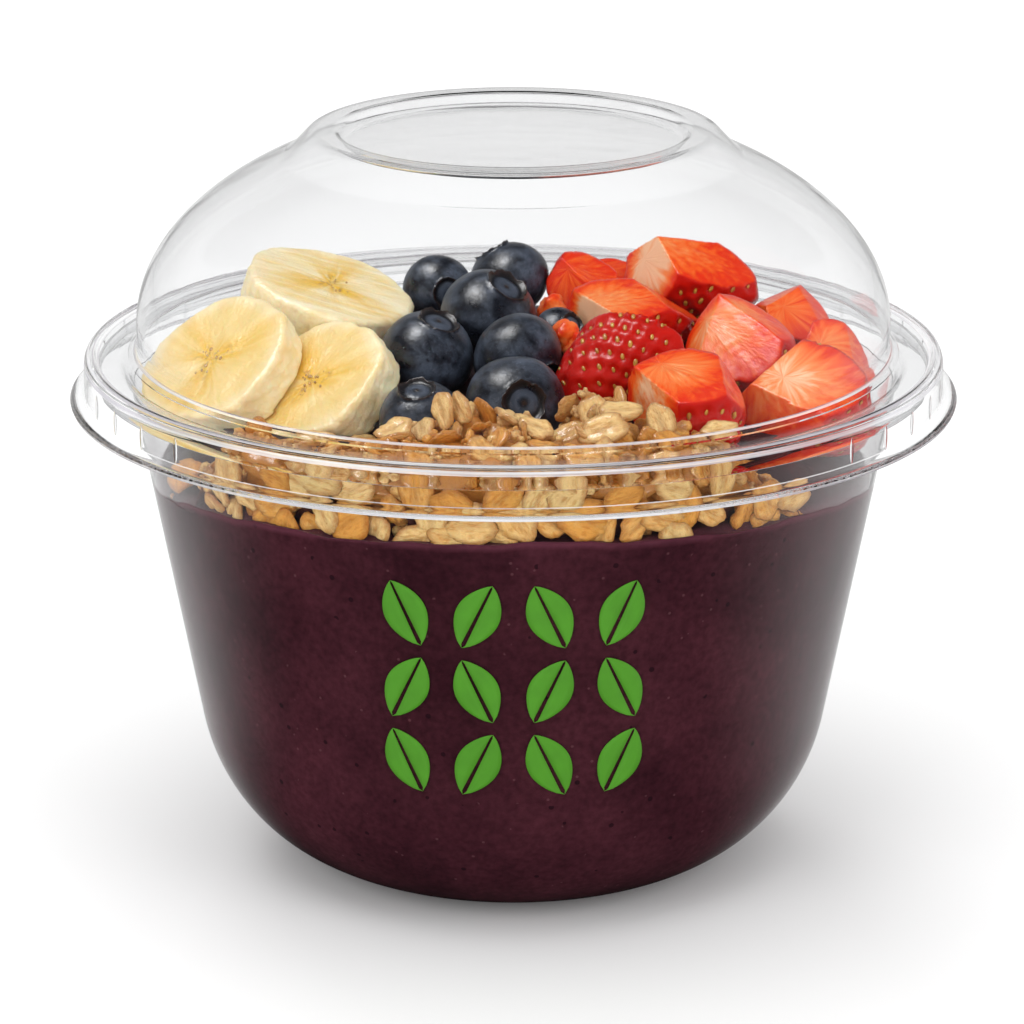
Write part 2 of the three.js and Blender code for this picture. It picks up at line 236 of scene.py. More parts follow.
def grey(value):
    return (value, value, value)


def rampOf(tree, factor, stops):
    ramp = putNode(tree, "ShaderNodeValToRGB", {"Fac": factor})
    elements = ramp.color_ramp.elements
    while len(elements) < len(stops):
        elements.new(0.5)
    for element, (place, color) in zip(elements, stops):
        element.position = place
        element.color = (*color, 1)
    return ramp.outputs["Color"]


def mixOf(tree, factor, first, second, mode="MIX"):
    mix = putNode(tree, "ShaderNodeMix", data_type="RGBA", blend_type=mode)
    for socket, value in ((mix.inputs[0], factor), (mix.inputs[6], first), (mix.inputs[7], second)):
        if isinstance(value, bpy.types.NodeSocket):
            tree.links.new(value, socket)
        else:
            socket.default_value = (*value, 1) if isinstance(value, tuple) else value
    return mix.outputs[2]


def mathOf(tree, operation, first, second=0.0, third=0.0):
    return putNode(tree, "ShaderNodeMath", {0: first, 1: second, 2: third}, operation=operation).outputs[0]


def times(tree, first, second):
    return mathOf(tree, "MULTIPLY", first, second)


def plus(tree, first, second):
    return mathOf(tree, "ADD", first, second)


def vectorOf(tree, operation, first, second=(0, 0, 0), output="Vector"):
    return putNode(tree, "ShaderNodeVectorMath", {0: first, 1: second}, operation=operation).outputs[output]


def scaleOf(tree, vector, factor):
    return putNode(tree, "ShaderNodeVectorMath", {0: vector, "Scale": factor}, operation="SCALE").outputs[0]


def joinOf(tree, x=0.0, y=0.0, z=0.0):
    return putNode(tree, "ShaderNodeCombineXYZ", {0: x, 1: y, 2: z}).outputs[0]


def heightOf(tree, vector):
    return putNode(tree, "ShaderNodeSeparateXYZ", {0: vector}).outputs["Z"]


def noiseOf(tree, coordinate, scale, detail=3.0, roughness=0.55):
    sockets = {"Vector": coordinate, "Scale": scale, "Detail": detail, "Roughness": roughness}
    return putNode(tree, "ShaderNodeTexNoise", sockets).outputs["Fac"]


def cellsOf(tree, coordinate, scale):
    return putNode(tree, "ShaderNodeTexVoronoi", {"Vector": coordinate, "Scale": scale}).outputs["Distance"]


def objectCoordinate(tree):
    return putNode(tree, "ShaderNodeTexCoord").outputs["Object"]


def attributeOf(tree, name, output="Fac"):
    return putNode(tree, "ShaderNodeAttribute", attribute_name=name).outputs[output]


def colorInto(tree, shader, color):
    tree.links.new(color, shader.inputs["Base Color"])


# Roughness from low to high while the value goes from start to end.
def roughInto(tree, shader, value, low, high, start=0.0, end=1.0):
    rough = putNode(tree, "ShaderNodeMapRange", {
        "Value": value, "From Min": start, "From Max": end, "To Min": low, "To Max": high})
    tree.links.new(rough.outputs["Result"], shader.inputs["Roughness"])


def bumpInto(tree, shader, height, strength, distance):
    bump = putNode(tree, "ShaderNodeBump", {"Height": height, "Strength": strength, "Distance": distance})
    tree.links.new(bump.outputs["Normal"], shader.inputs["Normal"])


cameraLook = {
    "place": (-0.25, -700, 278.5),
    "pitch": 17.37,  # degrees below level
    "lens": 150.3,
    "sensor": 36,
    "nearest": 0.01,  # metres
}
studio = {  # places and sizes in metres
    "floorReach": 4.0,
    "floorSides": 64,
    "floorColor": (0.93, 0.93, 0.93),
    "aim": (0, 0, 0.06),
    "key": {"place": (-0.15, -0.1, 1.4), "size": (1.5, 1.4), "power": 6.5, "inGloss": False},
    "left": {"place": (-0.9, -1.1, 0.8), "size": (0.9, 0.9), "power": 5.2, "inGloss": False},
    "right": {"place": (1.0, -1.0, 0.8), "size": (0.8, 0.9), "power": 5.2, "inGloss": False},
    "front": {"place": (0.0, -1.7, 0.4), "size": (2.2, 0.5), "power": 6, "inGloss": False},
    "rim": {"place": (-0.4, 1.3, 1.0), "size": (0.7, 0.4), "power": 4, "inGloss": False},
    "shine": {"place": (-0.4, -0.1, 1.2), "size": (0.45, 0.4), "power": 30, "inGloss": True},
    "around": 0.8,  # what the surroundings give to matt surfaces
    "whiteSide": (0.12, 1.0),  # gloss sees the surroundings white towards this side and dark on the other
    "whiteFrom": (-0.6, 0.35),
    "whiteGloss": 0.62,
    "darkGloss": 0.03,
    "deepGloss": 0.7,  # after two or more reflections inside the plastic
}


def makeCamera():
    data = bpy.data.cameras.new("camera")
    data.lens = cameraLook["lens"]
    data.sensor_width = cameraLook["sensor"]
    data.clip_start = cameraLook["nearest"]
    camera = bpy.data.objects.new("camera", data)
    camera.location = np.array(cameraLook["place"]) * mm
    camera.rotation_euler = (math.radians(90 - cameraLook["pitch"]), 0, 0)
    scene.collection.objects.link(camera)
    scene.camera = camera


# 1 for a ray that a glossy face has thrown back
def thrownBack(tree):
    path = putNode(tree, "ShaderNodeLightPath")
    glossy = mathOf(tree, "MINIMUM", path.outputs["Glossy Depth"], 1.0)
    return times(tree, glossy, mathOf(tree, "SUBTRACT", 1.0, path.outputs["Is Diffuse Ray"]))


# What gloss sees: dark or pale by the side, and pale after several reflections.
def mirroredTone(tree, share):
    once = mixOf(tree, share, grey(studio["darkGloss"]), grey(studio["whiteGloss"]))
    depth = putNode(tree, "ShaderNodeLightPath").outputs["Glossy Depth"]
    twice = putNode(tree, "ShaderNodeMath", {0: depth, 1: 1.0}, operation="SUBTRACT", use_clamp=True)
    return mixOf(tree, twice.outputs[0], once, grey(studio["deepGloss"]))


# 0 in front of the bowl and 1 behind it, level with the floor
def behindShare(tree, where):
    flat = vectorOf(tree, "NORMALIZE", vectorOf(tree, "MULTIPLY", where, (1, 1, 0)))
    towards = vectorOf(tree, "DOT_PRODUCT", flat, (*studio["whiteSide"], 0), "Value")
    front, behind = studio["whiteFrom"]
    return putNode(tree, "ShaderNodeMapRange", {"Value": towards, "From Min": front, "From Max": behind},
                   interpolation_type="SMOOTHSTEP").outputs["Result"]


def makeFloor():
    material, tree, shader = startMaterial("floorPaper", Roughness=0.9, Specular_IOR_Level=0.1)
    where = objectCoordinate(tree)
    white = studio["floorColor"]
    paper = rampOf(tree, noiseOf(tree, where, 3.0), [(0.0, white), (1.0, tuple(c * 0.99 for c in white))])
    # Painted reflection and shade: rays thrown back by gloss see the floor in a painted tone, dark in front of
    # the bowl and pale behind it.
    paintedReflectedTone = mirroredTone(tree, behindShare(tree, where))
    colorInto(tree, shader, mixOf(tree, thrownBack(tree), paper, paintedReflectedTone))
    rim = ringOf(studio["floorReach"] / mm, 0, turnsOf(studio["floorSides"]))
    floor = makePiece("floor", rim, [range(len(rim))], material)


def makeSoftbox(name):
    box = studio[name]
    data = bpy.data.lights.new(name + "Softbox", "AREA")
    data.shape = "RECTANGLE"
    data.size, data.size_y = box["size"]
    data.energy = box["power"]
    light = bpy.data.objects.new(name + "Softbox", data)
    light.location = box["place"]
    light.visible_glossy = box["inGloss"]
    light.visible_transmission = box["inGloss"]
    direction = Vector(box["place"]) - Vector(studio["aim"])
    light.rotation_euler = direction.to_track_quat("Z", "Y").to_euler()
    scene.collection.objects.link(light)
    return light


# A softbox that puts highlights on the food alone: in the plastic it would lie over the fruit as haze.
def makeShine(pieces):
    food = bpy.data.collections.new("food")
    for piece in pieces:
        food.objects.link(piece)
    light = makeSoftbox("shine")
    light.visible_diffuse = False
    light.visible_transmission = False
    light.light_linking.receiver_collection = food


def makeWorld():
    world = bpy.data.worlds.new("studio")
    world.use_nodes = True
    world.cycles.sampling_method = "NONE"
    scene.world = world
    tree = world.node_tree
    direction = putNode(tree, "ShaderNodeTexCoord").outputs["Generated"]
    low = rampOf(tree, heightOf(tree, direction), [(0.3, grey(1.0)), (0.55, grey(0.0))])
    gloss = mirroredTone(tree, times(tree, low, behindShare(tree, direction)))
    back = thrownBack(tree)
    light = mixOf(tree, back, grey(studio["around"]), gloss)
    path = putNode(tree, "ShaderNodeLightPath")
    seen = mathOf(tree, "MAXIMUM", path.outputs["Is Camera Ray"], path.outputs["Is Transmission Ray"])
    seen = times(tree, seen, mathOf(tree, "SUBTRACT", 1.0, back))
    tree.links.new(mixOf(tree, seen, light, grey(1.0)), tree.nodes["Background"].inputs["Color"])


makeCamera()
makeFloor()
for name in ("key", "left", "right", "front", "rim"):
    makeSoftbox(name)
makeWorld()
scene.view_settings.view_transform = "Standard"
scene.cycles.max_bounces = 24
scene.cycles.transmission_bounces = 24
scene.cycles.transparent_max_bounces = 32
scene.cycles.glossy_bounces = 8
scene.cycles.diffuse_bounces = 4
print("camera, floor and lights ready")


plastic = {
    "tint": (0.945, 0.947, 0.950, 1),
    "wallIor": 1.48,
    "lidIor": 1.3,
    "rimIor": 1.13,  # weak, so that the bends of the rim stay light
    "roughness": 0.025,
    "shade": (0.955, 0.955, 0.955, 1),  # what a lamp's light loses in one face
    "ripple": 90.0,
    "edgeClear": 0.55,  # how clear the cut edges and the bead stay
    "beadClear": 0.5,
    # streak colours of the milky bends: partly their real whitening, partly painted highlight and painted grey
    # reflection lines
    "whiteStreak": (0.98, 0.98, 0.985),
    "greyStreak": (0.58, 0.56, 0.60),
    "streakLong": 14,  # pattern scale along, across and up the ring
    "streakAcross": 110.0,
    "streakUp": 1600.0,
}
bowl = {
    "thick": 0.5,
    "baseRadius": 25.4,
    "cornerWide": 29,
    "cornerHigh": 32,
    "wallSlope": 0.188,
    "lipTop": 87.7,
    "lipRadius": 70.5,
    "lipNeck": 2.1,
    "lipFlare": 1.3,
    "lipCurl": 2.7,
}
lid = {
    "thick": 0.5,
    "across": 150,
    "top": 126.8,
    "plateau": 88.8,
    "centreHeight": 94,
    "radius": 63.6,
    "high": 35.4,
    "foot": 2.7,
    "shoulder": 38.3,
    "topRing": 33.9,
    "recess": 28.4,
    "recessDeep": 1.9,
    "bead": 72.6,
    "beadHigh": 0.6,
    "beadWide": 2.2,
    "skirtBottom": 81.8,
}
ribs = {
    "first": 48,  # degrees from the front
    "last": 132,
    "step": 7.7,
    "low": 82.7,
    "high": 87.0,
    "wide": 0.35,
    "inside": 0.3,  # from the bead's radius
}


# Clear plastic; lamps light what is behind it as through a tinted film.
def makeClearPlastic(name, ior):
    material, tree, shader = startMaterial(name, Base_Color=plastic["tint"], IOR=ior, Transmission_Weight=1.0)
    where = objectCoordinate(tree)
    rough = plastic["roughness"]
    roughInto(tree, shader, noiseOf(tree, where, 60.0), 0.5 * rough, 1.5 * rough)
    bumpInto(tree, shader, noiseOf(tree, where, plastic["ripple"], 1.0), 0.12, 0.0006)
    through = putNode(tree, "ShaderNodeBsdfTransparent", {"Color": plastic["shade"]})
    path = putNode(tree, "ShaderNodeLightPath")
    soft = mathOf(tree, "MAXIMUM", path.outputs["Is Shadow Ray"], path.outputs["Is Diffuse Ray"])
    mix = putNode(tree, "ShaderNodeMixShader", {0: soft, 1: shader.outputs[0], 2: through.outputs[0]})
    tree.links.new(mix.outputs[0], tree.nodes["Material Output"].inputs["Surface"])
    return material


# Plastic painted white at sharp bends and cut edges, in fine grey and white streaks around the ring:
# partly the real whitening of stretched and cut plastic, partly painted highlight and painted grey reflection
# lines.
def makeMilkyAndHighlitPlastic(name, clear):
    material, tree, shader = startMaterial(name, IOR=plastic["rimIor"], Transmission_Weight=clear)
    where = objectCoordinate(tree)
    flat = vectorOf(tree, "MULTIPLY", where, (plastic["streakLong"], plastic["streakLong"], 0))
    across = times(tree, vectorOf(tree, "LENGTH", flat, output="Value"), plastic["streakAcross"])
    ring = plus(tree, across, times(tree, heightOf(tree, where), plastic["streakUp"]))
    streak = noiseOf(tree, vectorOf(tree, "ADD", flat, joinOf(tree, z=ring)), 1.0, 3.0)
    color = rampOf(tree, streak, [(0.4, plastic["greyStreak"]), (0.56, plastic["whiteStreak"])])
    colorInto(tree, shader, color)
    roughInto(tree, shader, streak, 0.1, 0.3)
    bumpInto(tree, shader, noiseOf(tree, where, 140.0), 0.1, 0.0004)
    return material


# Gives faces of a turned sheet another finish where its section lies in [finish, r from, r to, z from, z to].
def finishZones(piece, section, zones):
    index = np.zeros(len(piece.data.polygons), np.int32)
    middle = (section[:-1] + section[1:]) / 2
    for place, (finish, rFrom, rTo, zFrom, zTo) in enumerate(zones):
        piece.data.materials.append(finish)
        for step, (r, z) in enumerate(middle):
            if rFrom <= r <= rTo and zFrom <= z <= zTo:
                index[step * aroundShell:(step + 1) * aroundShell] = place + 1
    piece.data.polygons.foreach_set("material_index", index)


cornerEnd = -math.atan(bowl["wallSlope"] * bowl["cornerHigh"] / bowl["cornerWide"])


def cornerPoint(angle, inset=0.0):
    r = bowl["baseRadius"] + (bowl["cornerWide"] - inset) * math.cos(angle)
    return r, bowl["cornerHigh"] + (bowl["cornerHigh"] - inset) * math.sin(angle)


def cornerArc(inset=0.0, steps=40):
    return [cornerPoint(angle, inset) for angle in np.linspace(-math.pi / 2, cornerEnd, steps)]


def wallRadius(z, inset=0.0):
    joinR, joinZ = cornerPoint(cornerEnd)
    return joinR + bowl["wallSlope"] * (z - joinZ) - inset


def makeBowlShell(finish, rimFinish):
    top, thick = bowl["lipTop"], bowl["thick"]
    neck = top - bowl["lipNeck"]
    neckRadius = wallRadius(neck)
    lipInside = bowl["lipRadius"] - thick
    section = sheetSection(bendOutline([
        (0, 0),
        *cornerArc(),
        *[(wallRadius(z), z) for z in np.linspace(cornerPoint(cornerEnd)[1] + 2, neck - 2, 12)],
        (neckRadius, neck, 1.0),
        (neckRadius + bowl["lipFlare"], top - thick, 0.8),
        (lipInside, top - thick, 0.7),
        (lipInside, top - bowl["lipCurl"]),
    ]), thick)
    piece = makePiece("bowlShell", *spinProfile(section, aroundShell), finish)
    finishZones(piece, section, [(rimFinish, 0, bowl["lipRadius"] + 1, neck - 1.5, top + 1)])
    keepPiece(piece, "clear_plastic", "bowl")


def makeLidShell(finish, rimFinish, edgeFinish, beadFinish):
    top, foot, skirt = lid["top"], lid["plateau"], lid["skirtBottom"]
    radius, bead, rise = lid["radius"], lid["bead"], lid["beadHigh"]
    start = math.acos(lid["shoulder"] / radius)
    end = -math.asin(lid["foot"] / lid["high"])
    dome = [(radius * math.cos(a), lid["centreHeight"] + lid["high"] * math.sin(a))
            for a in np.linspace(start, end, 48)]
    inner = bead - lid["beadWide"]
    edge = lid["across"] / 2
    section = sheetSection(bendOutline([
        (0, top - lid["recessDeep"]),
        (lid["recess"], top - lid["recessDeep"], 0.9),
        (lid["recess"] + lid["recessDeep"] / 2, top, 0.9),
        (lid["topRing"], top, 1.2),
        (*dome[0], 1.5),
        *dome[1:],
        (radius + 0.2, foot + 1.1, 0.7),
        (radius + lid["foot"], foot, 1.4),
        (inner, foot, 0.5),
        (inner + rise, foot + rise, 0.4),
        (bead - rise, foot + rise, 0.7),
        (bead, foot - rise, 1.0),
        (bead, skirt + 0.8, 0.7),
        (edge, skirt),
    ]), -lid["thick"])[::-1]
    piece = makePiece("lidShell", *spinProfile(section, aroundShell), finish)
    high = foot + rise
    finishZones(piece, section, [
        (rimFinish, radius + 1.2, edge + 0.5, skirt - 1, foot + 1),
        (edgeFinish, edge - 0.3, edge + 0.5, skirt - 1, skirt + 0.6),
        (edgeFinish, bead - 0.1, bead + 0.12, skirt + 0.7, skirt + 1.1),
        (beadFinish, inner - 0.3, inner + 0.1, foot - 0.6, foot + 0.2),
        (beadFinish, inner + 0.45, inner + 0.75, high - 0.3, high + 0.1),
        (beadFinish, bead - 0.95, bead - 0.5, high - 0.3, high + 0.1),
        (beadFinish, bead - 0.35, bead + 0.1, foot - 1.0, foot - 0.2),
        (edgeFinish, radius - 0.4, radius + 0.6, foot + 0.85, foot + 1.15),
    ])
    keepPiece(piece, "clear_plastic", "lid")


def startTree(name, sockets):
    tree = bpy.data.node_groups.new(name, "GeometryNodeTree")
    tree.interface.new_socket("Geometry", in_out="OUTPUT", socket_type="NodeSocketGeometry")
    for label, kind in sockets.items():
        tree.interface.new_socket(label, in_out="INPUT", socket_type="NodeSocket" + kind)
    return tree, tree.nodes.new("NodeGroupInput").outputs


def endTree(tree, geometry, finish):
    real = putNode(tree, "GeometryNodeRealizeInstances", {"Geometry": geometry})
    done = putNode(tree, "GeometryNodeSetMaterial", {"Geometry": real.outputs[0], "Material": finish})
    outlet = tree.nodes.new("NodeGroupOutput")
    tree.links.new(done.outputs[0], outlet.inputs[0])


randomSockets = {"FLOAT_VECTOR": (0, 1, 0), "FLOAT": (2, 3, 1), "INT": (4, 5, 2)}  # lowest, highest, outcome


def randomOf(tree, kind, lowest, highest, seed=0):
    low, high, outcome = randomSockets[kind]
    sockets = {low: lowest, high: highest, "Seed": seed}
    return putNode(tree, "FunctionNodeRandomValue", sockets, data_type=kind).outputs[outcome]


# Puts the tree on a guide, sets its inputs, and keeps the result as a plain mesh in place of the guide.
def grow(name, guide, tree, values):
    modifier = guide.modifiers.new("grow", "NODES")
    modifier.node_group = tree
    for item in tree.interface.items_tree:
        if item.item_type == "SOCKET" and item.in_out == "INPUT" and item.name in values:
            modifier[item.identifier] = values[item.name]
    guide.update_tag()
    bpy.context.view_layer.update()
    graph = bpy.context.evaluated_depsgraph_get()
    mesh = bpy.data.meshes.new_from_object(
        guide.evaluated_get(graph), preserve_all_data_layers=True, depsgraph=graph)
    guide.modifiers.remove(modifier)
    dropPieces(guide)
    mesh.name = name
    shadeSmooth(mesh)
    piece = bpy.data.objects.new(name, mesh)
    scene.collection.objects.link(piece)
    return piece


def dropPieces(*pieces):
    for piece in pieces:
        mesh = piece.data
        bpy.data.objects.remove(piece)
        bpy.data.meshes.remove(mesh)


# A hidden collection of shapes to pick from.
def kindsOf(name, pieces):
    collection = bpy.data.collections.new(name)
    for piece in pieces:
        scene.collection.objects.unlink(piece)
        collection.objects.link(piece)
    return collection


# Stands upright ribs along an arc of a ring.
def ribTree():
    tree, inlet = startTree("skirtRibs", {
        "Count": "Int", "First": "Float", "Step": "Float", "Radius": "Float", "Middle": "Float",
        "Width": "Float", "Length": "Float", "Finish": "Material"})
    index = tree.nodes.new("GeometryNodeInputIndex").outputs[0]
    angle = mathOf(tree, "MULTIPLY_ADD", index, inlet["Step"], inlet["First"])
    x = times(tree, mathOf(tree, "SINE", angle), inlet["Radius"])
    y = times(tree, mathOf(tree, "COSINE", angle), inlet["Radius"])
    place = joinOf(tree, x, times(tree, y, -1.0), inlet["Middle"])
    points = putNode(tree, "GeometryNodePoints", {"Count": inlet["Count"], "Position": place})
    size = joinOf(tree, inlet["Width"], inlet["Width"], inlet["Length"])
    rib = putNode(tree, "GeometryNodeMeshUVSphere", {"Segments": 12, "Rings": 10, "Radius": 1.0})
    there = putNode(tree, "GeometryNodeInstanceOnPoints", {
        "Points": points.outputs[0], "Instance": rib.outputs[0], "Scale": size})
    endTree(tree, there.outputs[0], inlet["Finish"])
    return tree


def makeSkirtRibs(finish):
    tree = ribTree()
    for name, side in (("skirtRibsLeft", -1), ("skirtRibsRight", 1)):
        piece = grow(name, makePiece("ribGuide", [(0, 0, 0)], []), tree, {
            "Count": int((ribs["last"] - ribs["first"]) / ribs["step"]) + 1,
            "First": math.radians(side * ribs["first"]),
            "Step": math.radians(side * ribs["step"]),
            "Radius": (lid["bead"] - ribs["inside"]) * mm,
            "Middle": (ribs["low"] + ribs["high"]) / 2 * mm,
            "Width": ribs["wide"] * mm,
            "Length": (ribs["high"] - ribs["low"]) / 2 * mm,
            "Finish": finish,
        })
        keepPiece(piece, "clear_plastic")


rimPlastic = makeClearPlastic("rimPlastic", plastic["rimIor"])
makeBowlShell(makeClearPlastic("wallPlastic", plastic["wallIor"]), rimPlastic)
makeLidShell(makeClearPlastic("lidPlastic", plastic["lidIor"]), rimPlastic,
             makeMilkyAndHighlitPlastic("edgePlastic", plastic["edgeClear"]),
             makeMilkyAndHighlitPlastic("beadPlastic", plastic["beadClear"]))
makeSkirtRibs(rimPlastic)
print("bowl and lid ready")


# The print on the bowl's front: rows of plain leaves.
leafPrint = {
    "middle": 47.5,  # height of the motif's middle
    "rows": 3,
    "columns": 4,
    "across": 11.6,
    "down": 13.4,
    "long": 12.2,
    "wide": 7.2,
    "vein": 0.75,
    "veinRise": 0.25,  # how much a leaf's sides sweep upwards
    "off": 0.02,  # from the wall to the print's inner face
    "thick": 0.08,
    "lean": 24,
    "color": (0.060, 0.255, 0.006),
}


def makePrintFinish():
    material, tree, shader = startMaterial("leafInk", Roughness=0.5)
    where = objectCoordinate(tree)
    tone = rampOf(tree, noiseOf(tree, where, 300.0), [(0.3, grey(0.93)), (0.7, grey(1.05))])
    colorInto(tree, shader, mixOf(tree, 1.0, leafPrint["color"], tone, "MULTIPLY"))
    bumpInto(tree, shader, noiseOf(tree, where, 1200.0), 0.1, 0.0001)
    return material


# One half of a leaf as a thin closed shell on the wall, between its vein and its edge.
def halfLeaf(x, z, lean, side, steps=22, across=4):
    run = np.linspace(0, 1, steps)
    half = leafPrint["wide"] / 2 * np.sin(math.pi * run ** 0.85) ** 0.8
    vein = np.minimum(leafPrint["vein"] / 2 * (1 - 0.5 * run), half * 0.9)
    shares = np.linspace(0, 1, across)
    rings = []
    for t, edge, gap in zip(run, half, vein):
        u = side * (gap + (np.maximum(edge, gap + 0.02) - gap) * shares)
        v = (t - 0.5) * leafPrint["long"] + leafPrint["veinRise"] * np.abs(u)
        along = x + u * math.cos(lean) + v * math.sin(lean)
        height = z - u * math.sin(lean) + v * math.cos(lean)
        layers = []
        for off in (leafPrint["off"], leafPrint["off"] + leafPrint["thick"]):
            r = wallRadius(height, -off)
            layers.append(np.stack([r * np.sin(along / r), -r * np.cos(along / r), height], 1))
        rings.append(np.concatenate([layers[0], layers[1][::-1]]))
    points, faces = skinClosed(rings)
    return points, faces if side < 0 else [face[::-1] for face in faces]


def makePrint(finish):
    rows, columns = leafPrint["rows"], leafPrint["columns"]
    halves = []
    for row in range(rows):
        for column in range(columns):
            x = (column - (columns - 1) / 2) * leafPrint["across"]
            z = leafPrint["middle"] + ((rows - 1) / 2 - row) * leafPrint["down"]
            lean = math.radians(leafPrint["lean"] * (1 if (row + column) % 2 else -1))
            halves += [halfLeaf(x, z, lean, side) for side in (-1, 1)]
    keepPiece(makePiece("leafPrint", *joinShapes(halves), finish), "clear_plastic")


makePrint(makePrintFinish())
print("print ready")


acai = {
    "wallLevel": 66.5,
    "frontRise": 7.2,
    "backRise": 4,
    "middle": 70,
    "mouth": 62,
    "heap": 13.5,
    "hollow": 14,  # pressed in at the front, where the granola lies
    "hollowAt": -45,
    "hollowAcross": 38,
    "hollowAlong": 30,
    "crest": 4,  # how much higher the rear stands
    "crestAt": 10,
    "crestSoft": 12,
    "wavyEdge": [(0.35, 7, 1), (0.2, 17, 0), (0.12, 41, 0)],  # height, waves around, start
    "relief": [(17, 0.7), (5, 0.18)],  # size and height of the unevenness
    "intoWall": 0.25,  # how far it reaches into the plastic
    "dark": (0.021, 0.0046, 0.0078),
    "light": (0.054, 0.0135, 0.0200),
    "film": (0.13, 0.035, 0.055),  # the thin wet edge at the wall
    # pale flecks and dark dots: pattern scale, radius, scale and share of the patches without any,
    # strength and colour
    "specks": [
        (420.0, 0.11, 170.0, 0.52, 0.3, (0.15, 0.06, 0.07)),
        (260.0, 0.12, 130.0, 0.5, 0.7, (0.006, 0.002, 0.004)),
    ],
    "seed": 3,
}


def acaiLevel(x, y):
    towards = np.abs(y) / np.maximum(np.hypot(x, y), 1e-6)
    rise = np.where(y < 0, acai["frontRise"], acai["backRise"])
    return acai["wallLevel"] + rise * towards ** 0.8


def acaiTop(x, y):
    share = np.minimum(np.hypot(x, y) / acai["mouth"], 1)
    base = acai["middle"] + (acaiLevel(x, y) - acai["middle"]) * share ** 2
    dip = np.exp(-((y - acai["hollowAt"]) / acai["hollowAlong"]) ** 2 - (x / acai["hollowAcross"]) ** 2)
    rear = (1 + np.tanh((y - acai["crestAt"]) / acai["crestSoft"])) / 2
    return base + (acai["heap"] - acai["hollow"] * dip + acai["crest"] * rear) * (1 - share ** 5)


# Against the wall there is no air under the plastic, so the blend has no gloss of its own there.
def makeAcaiFinish(name, gloss):
    material, tree, shader = startMaterial(
        name, Roughness=0.45, Specular_IOR_Level=0.25 * gloss, Coat_Weight=0.1 * gloss, Coat_Roughness=0.2)
    where = objectCoordinate(tree)
    broad = noiseOf(tree, where, 45.0, 6.0, 0.6)
    fine = noiseOf(tree, where, 900.0, 2.0)
    color = rampOf(tree, broad, [(0.3, acai["dark"]), (0.7, acai["light"])])
    grain = rampOf(tree, fine, [(0.3, grey(0.75)), (0.7, grey(1.2))])
    color = mixOf(tree, 1.0, color, grain, "MULTIPLY")
    for scale, reach, patches, least, strength, tone in acai["specks"]:
        speck = mathOf(tree, "LESS_THAN", cellsOf(tree, where, scale), reach)
        some = mathOf(tree, "GREATER_THAN", noiseOf(tree, where, patches, 1.0), least)
        color = mixOf(tree, times(tree, speck, times(tree, some, strength)), color, tone)
    color = mixOf(tree, attributeOf(tree, "film"), color, acai["film"])
    colorInto(tree, shader, color)
    bumpInto(tree, shader, plus(tree, fine, broad), 0.01 + 0.24 * gloss, 0.0004)
    return material


# From the middle of the base up the wall, and back to the middle over the uneven top.
def makeAcai(topFinish, wallFinish, count=256):
    angle = turnsOf(count)
    sx, sy = np.sin(angle), -np.cos(angle)
    inset = acai["intoWall"]
    level = acaiLevel(sx, sy)
    for high, number, start in acai["wavyEdge"]:
        level = level + high * np.sin(number * angle + start)
    rings = [np.array([[0, 0, inset]])]
    for r, z in cornerArc(inset, 28):
        rings.append(np.stack([r * sx, r * sy, np.full(count, z)], 1))
    low = cornerPoint(cornerEnd, inset)[1]
    for share in (*np.linspace(0.05, 0.97, 22), 0.988, 1):
        z = low + (level - low) * share
        r = wallRadius(z, inset)
        rings.append(np.stack([r * sx, r * sy, z], 1))
    wallFaces = (len(rings) - 1) * count
    for share in 1 - np.linspace(0.008, 0.992, 72) ** 1.15:
        r = wallRadius(level, inset) * share
        x, y = r * sx, r * sy
        flat = np.stack([x, y, 0 * x], 1)
        relief = 0
        for k, (size, high) in enumerate(acai["relief"]):
            relief = relief + waves(flat, size, acai["seed"] + k) * high
        edge = smoothStep(1.0, 0.93, share)
        z = acaiTop(x, y) + relief * edge
        if share > 0.985:
            z = level * (1 - edge) + z * edge
        rings.append(np.stack([x, y, z], 1))
    rings.append(np.array([[0, 0, float(acaiTop(0, 0))]]))
    points, faces = skinRings(rings)
    reach = np.hypot(points[:, 0], points[:, 1]) / wallRadius(points[:, 2], inset)
    below = acaiLevel(points[:, 0], points[:, 1]) - points[:, 2]
    film = smoothStep(1.1, 0.5, below) * smoothStep(0.965, 0.985, reach)
    piece = makePiece("acaiFill", points, faces, topFinish, {"film": film * 0.5})
    piece.data.materials.append(wallFinish)
    piece.data.polygons.foreach_set("material_index", (np.arange(len(faces)) < wallFaces).astype(np.int32))
    keepPiece(piece, "acai", "acai")


makeAcai(makeAcaiFinish("acaiTop", 1.0), makeAcaiFinish("acaiAtWall", 0.0))
print("acai ready")


banana = {
    "radius": 13.6,
    "thick": 6.8,
    "edge": 1.0,
    "seeds": 18,  # in one slice
    "seedSize": (0.75, 0.45, 0.4),  # long, wide, thick
    "seedLight": (0.62, 0.36, 0.10),
    "seedDark": (0.36, 0.19, 0.05),
    "face": (0.88, 0.67, 0.29),
    "rim": (0.94, 0.80, 0.50),
    "star": (0.82, 0.47, 0.015),
    "side": (0.97, 0.86, 0.58),
    "ripe": (0.84, 0.56, 0.16),
    "brown": (0.36, 0.19, 0.06),
    "pale": (0.96, 0.86, 0.62),
    "slices": [
        {"at": (-49.2, -6.2, 86.3), "axis": (-0.46, -0.45, 0.77), "wide": 1.02},
        {"at": (-32.2, -11.4, 84.1), "axis": (-0.46, -0.42, 0.78), "wide": 0.97},
        {"at": (-32.4, 17, 92.6), "axis": (0.27, -0.14, 0.95), "wide": 1.07, "pale": 1.0},
    ],
}


